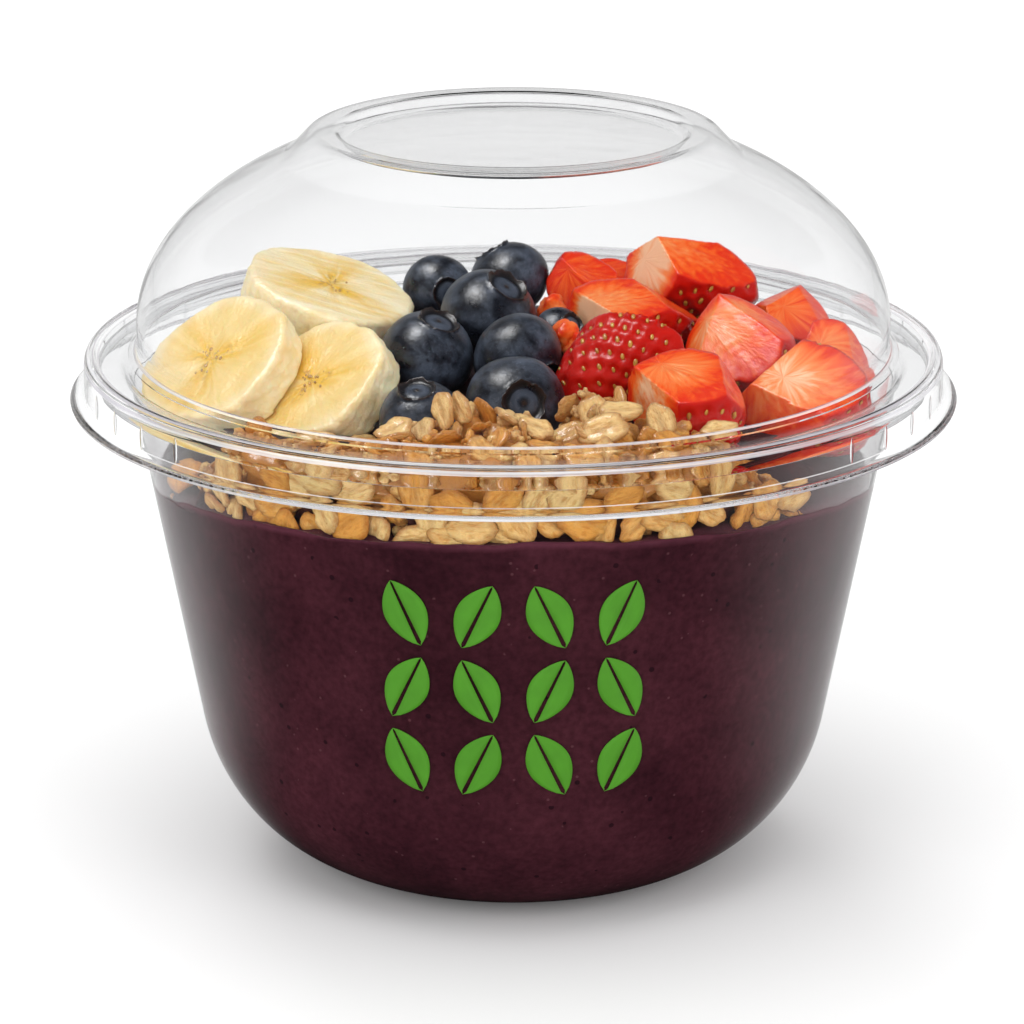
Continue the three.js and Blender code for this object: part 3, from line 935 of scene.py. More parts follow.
def makeBananaFinish():
    material, tree, shader = startMaterial(
        "bananaFlesh", Roughness=0.38, Specular_IOR_Level=0.35, Subsurface_Weight=0.25, Subsurface_Scale=0.003)
    own = attributeOf(tree, "own", "Vector")
    pale = attributeOf(tree, "pale")
    star = attributeOf(tree, "starShare")
    color = mixOf(tree, attributeOf(tree, "rimShare"), banana["face"], banana["rim"])
    color = mixOf(tree, attributeOf(tree, "sideShare"), color, banana["side"])
    # ripe patches
    cloud = rampOf(tree, noiseOf(tree, own, 2.6, 5.0, 0.6), [(0.42, grey(0.0)), (0.68, grey(1.0))])
    color = mixOf(tree, times(tree, cloud, 0.5), color, banana["ripe"])
    # the pale slice shows the knife's streaks
    knife = vectorOf(tree, "MULTIPLY", own, (1.2, 9.0, 3.0))
    streaks = rampOf(tree, noiseOf(tree, knife, 1.0, 4.0, 0.6), [(0.4, grey(0.2)), (0.6, grey(1.0))])
    color = mixOf(tree, times(tree, streaks, times(tree, pale, 0.8)), color, banana["pale"])
    # rays from the middle to the rim
    rays = noiseOf(tree, attributeOf(tree, "rays", "Vector"), 1.0, 4.0, 0.6)
    faint = rampOf(tree, rays, [(0.35, grey(1.04)), (0.7, (0.88, 0.86, 0.78))])
    color = mixOf(tree, 0.6, color, faint, "MULTIPLY")
    glow = times(tree, star, rampOf(tree, rays, [(0.40, grey(0.45)), (0.54, grey(1.0))]))
    color = mixOf(tree, glow, color, banana["star"])
    # brown marks in the star's middle
    marks = rampOf(tree, noiseOf(tree, own, 13.0, 4.0), [(0.5, grey(0.0)), (0.62, grey(1.0))])
    marks = times(tree, marks, mathOf(tree, "POWER", star, 5.0))
    color = mixOf(tree, times(tree, marks, 0.75), color, banana["brown"])
    colorInto(tree, shader, color)
    fibres = plus(tree, noiseOf(tree, own, 22.0, 3.0), times(tree, rays, 1.5))
    fibres = plus(tree, fibres, times(tree, pale, streaks))
    bumpInto(tree, shader, fibres, 0.4, 0.0004)
    return material


def bananaRings(spec, seed, count=168):
    radius = banana["radius"] * spec.get("wide", 1)
    half = banana["thick"] / 2
    edge = banana["edge"]
    section = [(r, -half) for r in np.linspace(0, radius - edge, 44)]
    section += [(radius - edge + edge * math.sin(a), -half + edge - edge * math.cos(a))
                for a in np.linspace(0.2, math.pi / 2, 5)]
    section += [(radius, z) for z in np.linspace(-half + edge + 0.3, half - edge - 0.3, 14)]
    section += [(radius - edge + edge * math.cos(a), half - edge + edge * math.sin(a))
                for a in np.linspace(0, math.pi / 2 - 0.2, 5)]
    section += [(r, half) for r in np.linspace(radius - edge, 0, 44)]
    angle = turnsOf(count)
    swell = 1 + 0.02 * np.cos(5 * angle) + 0.012 * np.sin(2 * angle + 1)
    rings = []
    for r, z in section:
        ring = ringOf(r * swell, z, angle)
        rings.append(ring)
        if len(ring) == 1:
            continue
        share = r / radius
        rough = smoothStep(0.9, 1.0, share)
        # shallow ridges across the side, with smaller bumps on them
        ridges = 0.015 * waves(ring * (1, 1, 0.3), 3.4, seed) + 0.008 * waves(ring, 1.6, seed + 2)
        ring[:, :2] *= (1 + rough * ridges)[:, None]
        # the face: sunk a little round the star, with faint rays
        face = (1 - rough) * np.sign(z)
        rays = 0.10 * np.cos(3 * angle + seed) * math.exp(-((share - 0.25) / 0.15) ** 2)
        ring[:, 2] += face * (rays - 0.22 * math.exp(-(share / 0.22) ** 2) + 0.10 * waves(ring, 6, seed + 5))
    return rings, radius


# Makes the slices and gives the places and directions of their seeds.
def makeBananas(finish):
    half = banana["thick"] / 2
    seedPoints, seedTowards = [], []
    for i, spec in enumerate(banana["slices"]):
        rings, radius = bananaRings(spec, 11 + i)
        points, faces = skinRings(rings)
        reach = np.hypot(points[:, 0], points[:, 1]) / radius
        angle = np.arctan2(points[:, 1], points[:, 0])
        onFace = smoothStep(half - 1.2, half - 0.4, np.abs(points[:, 2]))
        lobes = 0.36 + 0.2 * np.cos(3 * angle + i) + 0.06 * np.cos(7 * angle + 2 * i)
        along = 1.5 * reach + 0.3 * points[:, 2]
        turn = facing(spec["axis"])
        rng = np.random.default_rng(30 + i)
        for j in range(banana["seeds"]):
            a = (j % 3) * 2 * math.pi / 3 - i / 3 + rng.uniform(-0.75, 0.75)
            r = radius * rng.uniform(0.05, 0.26)
            seedPoints.append(turn @ np.array([r * math.cos(a), r * math.sin(a), half - 0.2]) + spec["at"])
            seedTowards.append(turn @ np.array([0, 0, 1]))
        piece = makePiece(f"bananaSlice{i + 1}", points @ turn.T + np.array(spec["at"]), faces, finish, {
            "own": points / radius + i * 5,
            "rays": np.stack([4 * np.cos(angle) + i * 5, 4 * np.sin(angle), along], 1),
            "rimShare": smoothStep(0.74, 0.97, reach),
            "sideShare": 1 - onFace,
            "starShare": np.exp(-(reach / lobes) ** 2 / 1.4) * onFace,
            "pale": np.full(len(points), spec.get("pale", 0.0)),
        })
        keepPiece(piece, "banana", f"banana_slice_{i + 1}")
    return seedPoints, seedTowards


blueberry = {
    "skin": (0.004, 0.005, 0.010),
    "bloom": (0.070, 0.088, 0.125),
    "crown": (0.026, 0.015, 0.012),
    # the hollow's colour is painted shade, darker in the groove inside the crown's ring
    "hollow": (0.006, 0.006, 0.009),  # inside the crown's ring
    "bodyHigh": 0.9,  # height over width
    "bodyEnd": 1.09,  # where the crown begins, in radians above the middle
    # the crown's ragged lip, inner wall and floor with its dot, for a berry of radius 1:
    # r, z, how ragged, share of crown, share of the hollow's painted shade; below 0 the hollow is paler than
    # skin
    "crownSection": [
        (0.45, 0.818, 0.1, 0.0, 0), (0.44, 0.84, 0.5, 0.4, 0), (0.432, 0.855, 1, 1, 0),
        (0.42, 0.855, 1, 1, 0), (0.405, 0.835, 0.8, 0.8, 0.6), (0.385, 0.805, 0.4, 0.2, 1),
        (0.345, 0.78, 0.1, 0, 1), (0.30, 0.78, 0, 0, 0.6), (0.27, 0.80, 0, 0, -0.6),
        (0.16, 0.812, 0, 0, -1), (0.07, 0.81, 0, 0, 0), (0.035, 0.82, 0, 1, 0), (0, 0.825, 0, 1, 0),
    ],
    "lip": [(5, 0.55), (9, 0.25), (17, 0.2)],  # points around and their share of the raggedness
    "lipWide": 0.24,
    "lipHigh": 0.09,
    "berries": [
        {"at": (0.4, -20, 84.2), "radius": 8.4, "axis": (0.2, -0.95, 0.35)},
        {"at": (0.8, -4.1, 88.3), "radius": 7.8, "axis": (0.6, -0.55, -0.4)},
        {"at": (-4.3, 11.9, 91.4), "radius": 8.4, "axis": (0.45, -0.3, 0.8)},
        {"at": (-0.8, 30.8, 92.9), "radius": 7.2, "axis": (-0.5, 0.2, 0.85)},
        {"at": (-13.2, 27.2, 92), "radius": 6.2, "axis": (0.3, -0.8, 0.1)},
        {"at": (-14.6, -2.4, 88.2), "radius": 8, "axis": (0.3, -0.2, 0.9)},
        {"at": (-15.2, -26, 83.6), "radius": 6.9, "axis": (-0.1, -0.3, 0.95)},
        {"at": (7.9, 9.4, 88.9), "radius": 4.5, "axis": (0.5, -0.5, 0.5)},
    ],
}


def makeBlueberryFinish():
    material, tree, shader = startMaterial("blueberrySkin", Specular_IOR_Level=0.45)
    own = attributeOf(tree, "own", "Vector")
    cloud = noiseOf(tree, own, 1.7, 6.0, 0.66)
    bloom = rampOf(tree, cloud, [(0.40, grey(0.05)), (0.50, grey(0.4)), (0.64, grey(1.0))])
    color = mixOf(tree, bloom, blueberry["skin"], blueberry["bloom"])
    scuffs = rampOf(tree, noiseOf(tree, own, 11.0, 4.0, 0.7), [(0.54, grey(0.0)), (0.64, grey(1.0))])
    color = mixOf(tree, times(tree, scuffs, 0.55), color, blueberry["skin"])
    # painted shade: darker inside the crown's ring where the share is above 0; below 0 the disc takes the
    # paler bloom
    hollow = attributeOf(tree, "hollowShare")
    color = mixOf(tree, mathOf(tree, "MAXIMUM", hollow, 0.0), color, blueberry["hollow"])
    pale = mathOf(tree, "MAXIMUM", times(tree, hollow, -1.0), 0.0)
    color = mixOf(tree, times(tree, pale, 0.7), color, blueberry["bloom"])
    color = mixOf(tree, attributeOf(tree, "crownShare"), color, blueberry["crown"])
    colorInto(tree, shader, color)
    roughInto(tree, shader, cloud, 0.24, 0.45, 0.3, 0.7)
    bumpInto(tree, shader, noiseOf(tree, own, 14.0, 4.0), 0.2, 0.0003)
    return material


def makeBlueberries(finish, count=96):
    angle = turnsOf(count)
    body = [(math.cos(a), blueberry["bodyHigh"] * math.sin(a), 0, 0, 0)
            for a in np.linspace(-math.pi / 2, blueberry["bodyEnd"], 42)]
    for i, spec in enumerate(blueberry["berries"]):
        radius = spec["radius"]
        rng = np.random.default_rng(40 + i)
        lip = [share * np.abs(np.cos(angle * k / 2 + rng.uniform(*anyPhase))) for k, share in blueberry["lip"]]
        ragged = sum(lip) - blueberry["lip"][0][1]
        rings, crown, hollow = [], [], []
        for r, z, rag, share, dark in body + blueberry["crownSection"]:
            wide = r * radius * (1 + rag * blueberry["lipWide"] * ragged)
            high = z * radius + rag * blueberry["lipHigh"] * ragged * radius
            rings.append(ringOf(wide, high, angle))
            crown.append(np.full(len(rings[-1]), share))
            hollow.append(np.full(len(rings[-1]), dark))
        points, faces = skinRings(rings)
        dent = waves(points, radius * 1.7, 60 + i) * 0.022 + waves(points, radius * 0.6, 80 + i) * 0.006
        own = points / radius + i * 7.0
        points = points * (1 + dent)[:, None] @ facing(spec["axis"]).T + np.array(spec["at"])
        piece = makePiece(f"blueberry{i + 1}", points, faces, finish, {
            "own": own, "crownShare": np.concatenate(crown), "hollowShare": np.concatenate(hollow)})
        keepPiece(piece, "blueberry", f"blueberry_{i + 1}")


strawberry = {
    # a whole berry's outline from stem to tip: r and z as shares of its radius and length
    "profile": [(0, -0.42), (0.62, -0.4), (0.94, -0.24), (1, -0.02), (0.86, 0.2), (0.58, 0.4), (0.26, 0.54),
                (0, 0.58)],
    "edge": 0.16,  # how softly the cuts meet
    "dimpleDeep": 0.85,
    "dimpleWide": 1.15,
    "seedSpacing": 3.0,
    "seedSize": (1.2, 0.7, 0.5),  # long, wide, thick
    "seedLight": (0.60, 0.33, 0.055),
    "seedDark": (0.42, 0.16, 0.02),
    "skin": (0.62, 0.009, 0.003),
    "skinDark": (0.42, 0.003, 0.001),
    "red": (0.78, 0.030, 0.004),
    "flesh": (0.90, 0.115, 0.012),
    "pale": (0.92, 0.27, 0.075),
    "white": (0.93, 0.56, 0.33),
    "bits": [(8.6, 2.6, 90.2, 2.5), (11.6, 1.4, 88.6, 3.0), (6.8, 17.5, 90.8, 2.6)],  # x, y, z, radius
    # each cut: x, y, z of the way it faces, its distance from the middle, and how much paler it is
    "pieces": [
        {"at": (13.4, 28, 92), "long": 17, "radius": 6.7, "tip": (0.5, 0.2, -0.5), "ripe": 0.75,
         "cuts": [(0.45, -0.3, 0.8, 2.6), (-0.35, -0.85, 0.35, 4.2), (0.9, -0.1, 0, 4.5)]},
        {"at": (18.2, 39.8, 89.6), "long": 13, "radius": 5, "tip": (0.7, 0.2, -0.3), "ripe": 0.6,
         "cuts": [(0, -0.3, 0.9, 3.2), (-0.9, 0.1, 0, 4)]},
        {"at": (29.8, 31, 94.2), "long": 25, "radius": 9, "tip": (0.95, -0.05, -0.3),
         "cuts": [(-0.8, -0.5, 0.3, 6, 0.3), (0.35, -0.35, 0.85, 4.4, -0.12), (-0.1, 0.6, 0.8, 5.5)]},
        {"at": (19.6, 12.5, 91), "long": 24, "radius": 8.8, "tip": (0.9, 0.3, -0.1),
         "cuts": [(-0.8, -0.6, 0, 6, 0.5), (0, -0.2, 0.95, 3.6, -0.1), (0.5, 0.1, 0.8, 5.6)]},
        {"at": (19.4, -8.5, 88.6), "long": 26, "radius": 9.6, "tip": (-0.85, -0.3, -0.4),
         "cuts": [(0.35, 0.85, 0.35, 1), (0.9, 0.2, 0.1, 8)]},
        {"at": (28.2, -28.5, 87.4), "long": 22, "radius": 9.8, "tip": (0.5, -0.4, -0.7),
         "cuts": [(-0.85, -0.5, 0, 6.2, 0.22), (0, -0.25, 0.95, 4.6, -0.15), (0.75, -0.1, 0.6, 7.4)]},
        {"at": (38.6, 2, 88.4), "long": 22, "radius": 8.7, "tip": (0.7, -0.3, -0.5),
         "cuts": [(-0.3, -0.7, 0.6, 3.2, -0.12), (-0.75, -0.3, 0.5, 5.8, 0.1), (0.4, -0.1, 0.9, 5.6)]},
        {"at": (48.3, -16.4, 85.2), "long": 24, "radius": 10.6, "tip": (0.6, 0.1, -0.5),
         "cuts": [(0, -0.45, 0.88, 3, 0.05), (-0.5, -0.8, 0, 6.5, -0.2), (-0.65, 0.3, 0.6, 7.2)]},
        {"at": (48.4, 22.5, 87.4), "long": 19, "radius": 7.6, "tip": (0.3, 0.3, -0.7), "ripe": 0.5,
         "cuts": [(0.2, -0.5, 0.8, 3), (-0.9, -0.2, 0.1, 5), (0.6, -0.2, 0.7, 4.2), (-0.4, 0.1, 0.9, 4.6)]},
        {"at": (54.8, 8.2, 83.2), "long": 18, "radius": 7.3, "tip": (0.4, 0.2, -0.8), "ripe": 0.3,
         "cuts": [(0.2, -0.6, 0.75, 3.5), (-0.8, 0.3, 0.1, 4.8), (0.7, -0.3, 0.5, 4.4)]},
    ],
}
farAway = 1e3  # where a cut isn't met


def makeStrawberryFinish():
    material, tree, shader = startMaterial(
        "strawberryFlesh", Specular_IOR_Level=0.15, Coat_Weight=0.4, Coat_Roughness=0.08,
        Subsurface_Weight=0.12, Subsurface_Scale=0.002)
    rays = noiseOf(tree, attributeOf(tree, "streak", "Vector"), 1.0, 5.0, 0.6)
    cloud = noiseOf(tree, objectCoordinate(tree), 160.0, 3.0)
    level = plus(tree, attributeOf(tree, "depth"), times(tree, mathOf(tree, "SUBTRACT", rays, 0.5), 1.1))
    flesh = rampOf(tree, level, [(0.05, strawberry["red"]), (0.28, strawberry["flesh"]),
                                 (0.62, strawberry["pale"]), (0.9, strawberry["white"])])
    skin = mixOf(tree, cloud, strawberry["skinDark"], strawberry["skin"])
    colorInto(tree, shader, mixOf(tree, attributeOf(tree, "skinShare"), flesh, skin))
    roughInto(tree, shader, cloud, 0.22, 0.42)
    bumpInto(tree, shader, plus(tree, rays, times(tree, cloud, 0.5)), 0.35, 0.0005)
    return material


# Distance from the berry's middle to its skin, as a table over the angle from its tip.
def bodyTable(long, radius, soft=20):
    fine = np.radians(np.arange(0, 181))
    outline = [(r * radius, z * long) for r, z in strawberry["profile"]]
    around = sorted((math.atan2(r, z), math.hypot(r, z)) for r, z in outline)
    reach = np.interp(fine, [a for a, _ in around], [d for _, d in around])
    padded = np.concatenate([reach[soft:0:-1], reach, reach[-2:-soft - 2:-1]])
    kernel = np.exp(-(np.arange(-soft, soft + 1) / 7) ** 2)
    return fine, np.convolve(padded, kernel / kernel.sum(), "valid")


def bodyReach(table, cosine):
    return np.interp(np.arccos(np.clip(cosine, -1, 1)), *table)


def cutNormal(x, y, z):
    return np.array([x, y, z]) / math.sqrt(x * x + y * y + z * z)


# Directions in a spiral around the berry, about one seed spacing apart.
def seedDirections(long, radius, start):
    area = 4 * math.pi * radius * (radius + long / 2) / 2
    count = max(int(area / strawberry["seedSpacing"] ** 2 * 1.15), 12)
    k = np.arange(count) + 0.5
    z = 1 - 2 * k / count
    turn = k * 2.399963 + start
    ring = np.sqrt(1 - z * z)
    return np.stack([ring * np.cos(turn), ring * np.sin(turn), z], 1)


# How far a berry reaches each way: to its skin and to its nearest cut, and how much paler that cut is.
def berryReaches(ways, spec, table, cuts, seed):
    body = bodyReach(table, ways[:, 2])
    body = body * (1 + 0.02 * waves(ways * spec["radius"], spec["radius"] * 1.6, seed))
    cutReach, cutPale = np.full(len(ways), farAway), np.zeros(len(ways))
    for normal, offset, paler in cuts:
        slope = ways @ normal
        reach = np.where(slope > 1e-3, offset / np.maximum(slope, 1e-3), farAway)
        cutPale = np.where(reach < cutReach, paler, cutPale)
        cutReach = np.minimum(cutReach, reach)
    return body, cutReach, cutPale


# Makes the cut berries and gives the places and directions of their seeds.
def makeStrawberries(finish):
    directions, faces = icoDirections(6)
    soft, deep = strawberry["edge"], strawberry["dimpleDeep"]
    seedPoints, seedTowards = [], []
    for i, spec in enumerate(strawberry["pieces"]):
        at, turn = np.array(spec["at"], float), facing(spec["tip"])
        table = bodyTable(spec["long"], spec["radius"])
        cuts = [(turn.T @ cutNormal(x, y, z), offset, paler[0] if paler else 0)
                for x, y, z, offset, *paler in spec["cuts"]]
        seedWays = seedDirections(spec["long"], spec["radius"], i)
        seedBody, seedCut, _ = berryReaches(seedWays, spec, table, cuts, 200 + i)
        onSkin = seedBody < seedCut - 0.8
        seedWays, seedBody = seedWays[onSkin], seedBody[onSkin]
        body, cutReach, cutPale = berryReaches(directions, spec, table, cuts, 200 + i)
        # the softened meeting of skin and cuts, 60 mm being past any of them
        plain = -soft * np.log(np.exp(-np.minimum(body, 60) / soft) + np.exp(-np.minimum(cutReach, 60) / soft))
        skinShare = smoothStep(-0.35, 0.25, cutReach - body)
        dimple = np.zeros(len(directions))
        for way, reach in zip(seedWays, seedBody):
            away = np.linalg.norm(directions - way, axis=1) * reach
            dimple += np.exp(-(away / strawberry["dimpleWide"]) ** 2)
        own = directions * plain[:, None]
        uneven = 0.10 * waves(own, 5, 300 + i) + 0.02 * waves(own, 1.8, 320 + i)
        radius = plain - deep * np.minimum(dimple, 1) * skinShare + (1 - skinShare) * uneven
        points = directions * radius[:, None]
        # how far inside the berry a cut face lies, which sets how pale it is
        depth = np.clip(1 - plain / body, 0, 1)
        stem = smoothStep(0.1, -0.4, own[:, 2] / spec["long"])
        inside = smoothStep(0.03, 0.3, depth)
        depth = np.clip(depth * 0.85 + (0.42 * stem + cutPale) * inside, 0, 1) * (1 - spec.get("ripe", 0))
        theta = np.arctan2(own[:, 1], own[:, 0])
        flat = np.hypot(own[:, 0], own[:, 1]) / spec["radius"]
        streak = np.stack([5 * np.cos(theta) + i * 9, 5 * np.sin(theta), own[:, 2] * 0.6 - flat * 2.2], 1)
        piece = makePiece(f"strawberry{i + 1}", points @ turn.T + at, faces, finish, {
            "depth": depth, "skinShare": skinShare, "streak": streak})
        keepPiece(piece, "strawberry", f"strawberry_{i + 1}")
        seedPoints.extend((seedWays * (seedBody - deep * 0.75)[:, None]) @ turn.T + at)
        seedTowards.extend(seedWays @ turn.T)
    return seedPoints, seedTowards


# Crumbs of strawberry flesh caught between the blueberries and the cut pieces.
def makeStrawberryBits(finish):
    directions, faces = icoDirections(4)
    shapes, depths = [], []
    for i, (x, y, z, radius) in enumerate(strawberry["bits"]):
        shape = 1 + 0.16 * waves(directions, 1.3, 400 + i) + 0.06 * waves(directions, 0.5, 410 + i)
        shapes.append((directions * shape[:, None] * radius + (x, y, z), faces))
        depths.append(0.3 + 0.15 * waves(directions, 1.0, 420 + i))
    points, faces = joinShapes(shapes)
    piece = makePiece("strawberryBits", points, faces, finish, {
        "depth": np.concatenate(depths), "skinShare": np.zeros(len(points)), "streak": points * 0.8})
    keepPiece(piece, "strawberry")


# Lays small seeds on fruit at points that know which way they face.
def seedTree():
    tree, inlet = startTree("placeSeeds", {
        "Guide": "Geometry", "Long": "Float", "Wide": "Float", "Thick": "Float", "Seed": "Int",
        "Finish": "Material"})
    shape = putNode(tree, "GeometryNodeMeshIcoSphere", {"Radius": 1.0, "Subdivisions": 2})
    towards = putNode(tree, "GeometryNodeInputNamedAttribute", {"Name": "towards"}, data_type="FLOAT_VECTOR")
    aligned = putNode(tree, "FunctionNodeAlignRotationToVector", {"Vector": towards.outputs[0]}, axis="Z")
    size = joinOf(tree, inlet["Wide"], inlet["Long"], inlet["Thick"])
    there = putNode(tree, "GeometryNodeInstanceOnPoints", {
        "Points": inlet["Guide"], "Instance": shape.outputs[0], "Rotation": aligned.outputs[0],
        "Scale": scaleOf(tree, size, randomOf(tree, "FLOAT", 0.8, 1.15, inlet["Seed"]))})
    endTree(tree, there.outputs[0], inlet["Finish"])
    return tree


def makeSeedFinish(name, fruit):
    material, tree, shader = startMaterial(name, Roughness=0.35, Coat_Weight=0.3)
    tone = noiseOf(tree, objectCoordinate(tree), 700.0, 2.0)
    colorInto(tree, shader, rampOf(tree, tone, [(0.35, fruit["seedDark"]), (0.65, fruit["seedLight"])]))
    bumpInto(tree, shader, tone, 0.3, 0.0002)
    return material


def placeSeeds(name, slotName, tree, fruit, at, towards, finish):
    guide = makePiece(name + "Guide", at, [], attributes={"towards": np.array(towards)})
    long, wide, thick = fruit["seedSize"]
    piece = grow(name, guide, tree, {
        "Long": long * mm / 2, "Wide": wide * mm / 2, "Thick": thick * mm / 2, "Seed": 5, "Finish": finish})
    keepPiece(piece, slotName)


seedsTree = seedTree()
placeSeeds("bananaSeeds", "banana", seedsTree, banana, *makeBananas(makeBananaFinish()),
           makeSeedFinish("bananaSeed", banana))
makeBlueberries(makeBlueberryFinish())
strawberryFinish = makeStrawberryFinish()
berrySeeds = makeStrawberries(strawberryFinish)
makeStrawberryBits(strawberryFinish)
placeSeeds("strawberrySeeds", "strawberry", seedsTree, strawberry, *berrySeeds,
           makeSeedFinish("strawberrySeed", strawberry))
print("fruit ready")


granola = {
    "from": math.radians(-68),  # angle from the front
    "to": math.radians(51),
    "inner": 29,
    "crest": 88.4,
    "ridge": 0.45,  # where the crest runs, as a share from the inner edge to the wall
    "wallDrop": 4.2,
    "innerDrop": 9,
    "leftFall": 10,
    "wallFall": 1.5,  # the left's fall at the wall
    "endFall": 13,
    "rightFall": 13,
    "sink": 2.6,  # how far the core stays under the heap's outline
    "offWall": 2.6,  # how far the core stays off the wall
    # standing clusters: x and y of the middle, height of the top, radius
    "clusters": [
        ((13.4, -35), 92.6, 4.6), ((-6.5, -40), 90.6, 4.2), ((2, -41), 90.2, 3.8), ((20.5, -39), 89.0, 4.2),
    ],
    "clusterSteep": 4.5,
    # single oats: middle, where the face looks, turn, size, kind
    "placed": [
        ((-11.2, -41.5, 89.6), (-0.75, -0.6, 0.25), 80, 0.78, 0),
        ((-8.4, -41.8, 89.9), (-0.8, -0.55, 0.2), 95, 0.75, 2),
        ((17.2, -41, 89.2), (0.05, -0.25, 0.95), 10, 0.85, 1),
        ((14.4, -46, 87.6), (-0.1, -0.75, 0.6), 15, 0.95, 3),
        ((23.6, -42.5, 88), (-0.5, -0.8, 0.35), 100, 0.75, 4),
        ((33.2, -41, 86), (0.1, -0.5, 0.85), 25, 0.75, 5),
        ((3.6, -46, 88), (0.1, -0.5, 0.8), 160, 0.7, 2),
        ((-19, -44, 87.2), (-0.2, -0.4, 0.9), 20, 0.75, 0),
    ],
    "placedTone": 0.75,
    # scattered pieces: spacing and lift in millimetres, tilt in radians, sizes as shares of a whole one
    "wallOats": {"Spacing": 4.3, "Lift": 2.0, "Tilt": 0.35, "Smallest": 0.7, "Largest": 1.1},
    "topOats": {"Spacing": 4.6, "Lift": 1.9, "Tilt": 1.0, "Smallest": 0.55, "Largest": 0.85},
    "granolaLumps": {"Spacing": 3.1, "Lift": 0.5, "Tilt": 3.0, "Smallest": 0.6, "Largest": 1.1},
    "density": 3e5,  # most pieces to a square metre
    "kinds": 6,  # shapes of oats, and of lumps
    "oatLong": 8.6,
    # an oat's section from below: reach and height as shares of its half length and thickness
    "oatSection": [(0.45, -0.95), (0.82, -0.8), (0.98, -0.35), (1.0, 0.2), (0.9, 0.75), (0.68, 0.95),
                   (0.36, 1.0)],
    "lumpRadius": 2.4,
    "lumpLobes": 9,
    "ringFrom": 62,  # past this radius the lid's flat ring is above
    "ringUnder": 86.0,
    "cream": (0.94, 0.64, 0.27),
    "gold": (0.84, 0.39, 0.075),
    # toasted brown, also painted as shade in creases and over the core
    "toastAndShade": (0.36, 0.11, 0.014),
    "groove": (0.72, 0.52, 0.3),
    "seed": 7,
}
wallInset = bowl["thick"] + 0.15
granolaWall = wallRadius(76, wallInset)


def granolaPlace(angle, share):
    r = granola["inner"] + (granolaWall - granola["inner"]) * share
    return r * np.sin(angle), -r * np.cos(angle)


# Smooth share between two angles in degrees.
def angleStep(low, high, angle):
    return smoothStep(math.radians(low), math.radians(high), angle)


def granolaTop(angle, share):
    sink = granola["leftFall"] + (granola["wallFall"] - granola["leftFall"]) * smoothStep(0.5, 0.85, share)
    left = sink * angleStep(18, 46, -angle) + granola["endFall"] * angleStep(49, 62, -angle)
    right = granola["rightFall"] * angleStep(26, 60, angle)
    ripple = 0.9 * np.sin(9 * angle + 2) + 0.7 * np.sin(19 * angle + 5 * share)
    away = share - granola["ridge"]
    drop = np.where(away > 0, granola["wallDrop"] * (away / (1 - granola["ridge"])) ** 2,
                    granola["innerDrop"] * (away / granola["ridge"]) ** 2)
    x, y = granolaPlace(angle, share)
    top = granola["crest"] - left - right + ripple - drop
    for (cx, cy), high, wide in granola["clusters"]:
        top = np.maximum(top, high - granola["clusterSteep"] * ((x - cx) ** 2 + (y - cy) ** 2) / wide ** 2)
    return np.maximum(top, acaiTop(x, y) + 1)


# How far points lie outside each fruit in turn.
def outsideFruits(points):
    for spec in banana["slices"]:
        local = (points - np.array(spec["at"])) @ facing(spec["axis"])
        radius = banana["radius"] * spec.get("wide", 1)
        aside = np.hypot(local[:, 0], local[:, 1]) - radius
        yield np.maximum(aside, np.abs(local[:, 2]) - banana["thick"] / 2)
    for spec in blueberry["berries"]:
        yield np.linalg.norm(points - np.array(spec["at"]), axis=1) - spec["radius"]
    for spec in strawberry["pieces"]:
        away = points - np.array(spec["at"])
        local = away @ facing(spec["tip"])
        length = np.linalg.norm(local, axis=1)
        table = bodyTable(spec["long"], spec["radius"])
        outside = length - bodyReach(table, local[:, 2] / np.maximum(length, 1e-6))
        for x, y, z, offset, *_ in spec["cuts"]:
            outside = np.maximum(outside, away @ cutNormal(x, y, z) - offset)
        yield outside


# How free a place is of fruit, 0 inside a fruit and 1 clear of all.
def clearOfFruit(points):
    free = np.ones(len(points))
    for outside in outsideFruits(points):
        free = np.minimum(free, smoothStep(0.2, 1.4, outside))
    return free


def makeOatFinish():
    material, tree, shader = startMaterial("toastedOats", Specular_IOR_Level=0.25, Coat_Weight=0.25,
                                           Coat_Roughness=0.18, Subsurface_Weight=0.1, Subsurface_Scale=0.0015)
    cloud = noiseOf(tree, objectCoordinate(tree), 560.0, 6.0, 0.75)
    # fine wrinkles along each oat
    along = vectorOf(tree, "MULTIPLY", attributeOf(tree, "own", "Vector"), (5, 13, 13))
    wrinkles = noiseOf(tree, along, 1.0, 3.0)
    level = plus(tree, times(tree, attributeOf(tree, "tone"), 0.5), times(tree, cloud, 0.5))
    color = rampOf(tree, level, [(0.36, granola["gold"]), (0.62, granola["cream"])])
    groove = rampOf(tree, wrinkles, [(0.36, granola["groove"]), (0.52, grey(1.0))])
    color = mixOf(tree, 0.6, color, groove, "MULTIPLY")
    # toasted brown at the oats' rims, and painted shade in the creases of oats and lumps and over the core
    toastAndShade = times(tree, attributeOf(tree, "edge"), plus(tree, times(tree, cloud, 1.1), 0.15))
    color = mixOf(tree, toastAndShade, color, granola["toastAndShade"])
    color = mixOf(tree, attributeOf(tree, "stain"), color, acai["light"])
    colorInto(tree, shader, color)
    roughInto(tree, shader, cloud, 0.3, 0.6)
    bumpInto(tree, shader, plus(tree, wrinkles, cloud), 0.8, 0.0007)
    return material


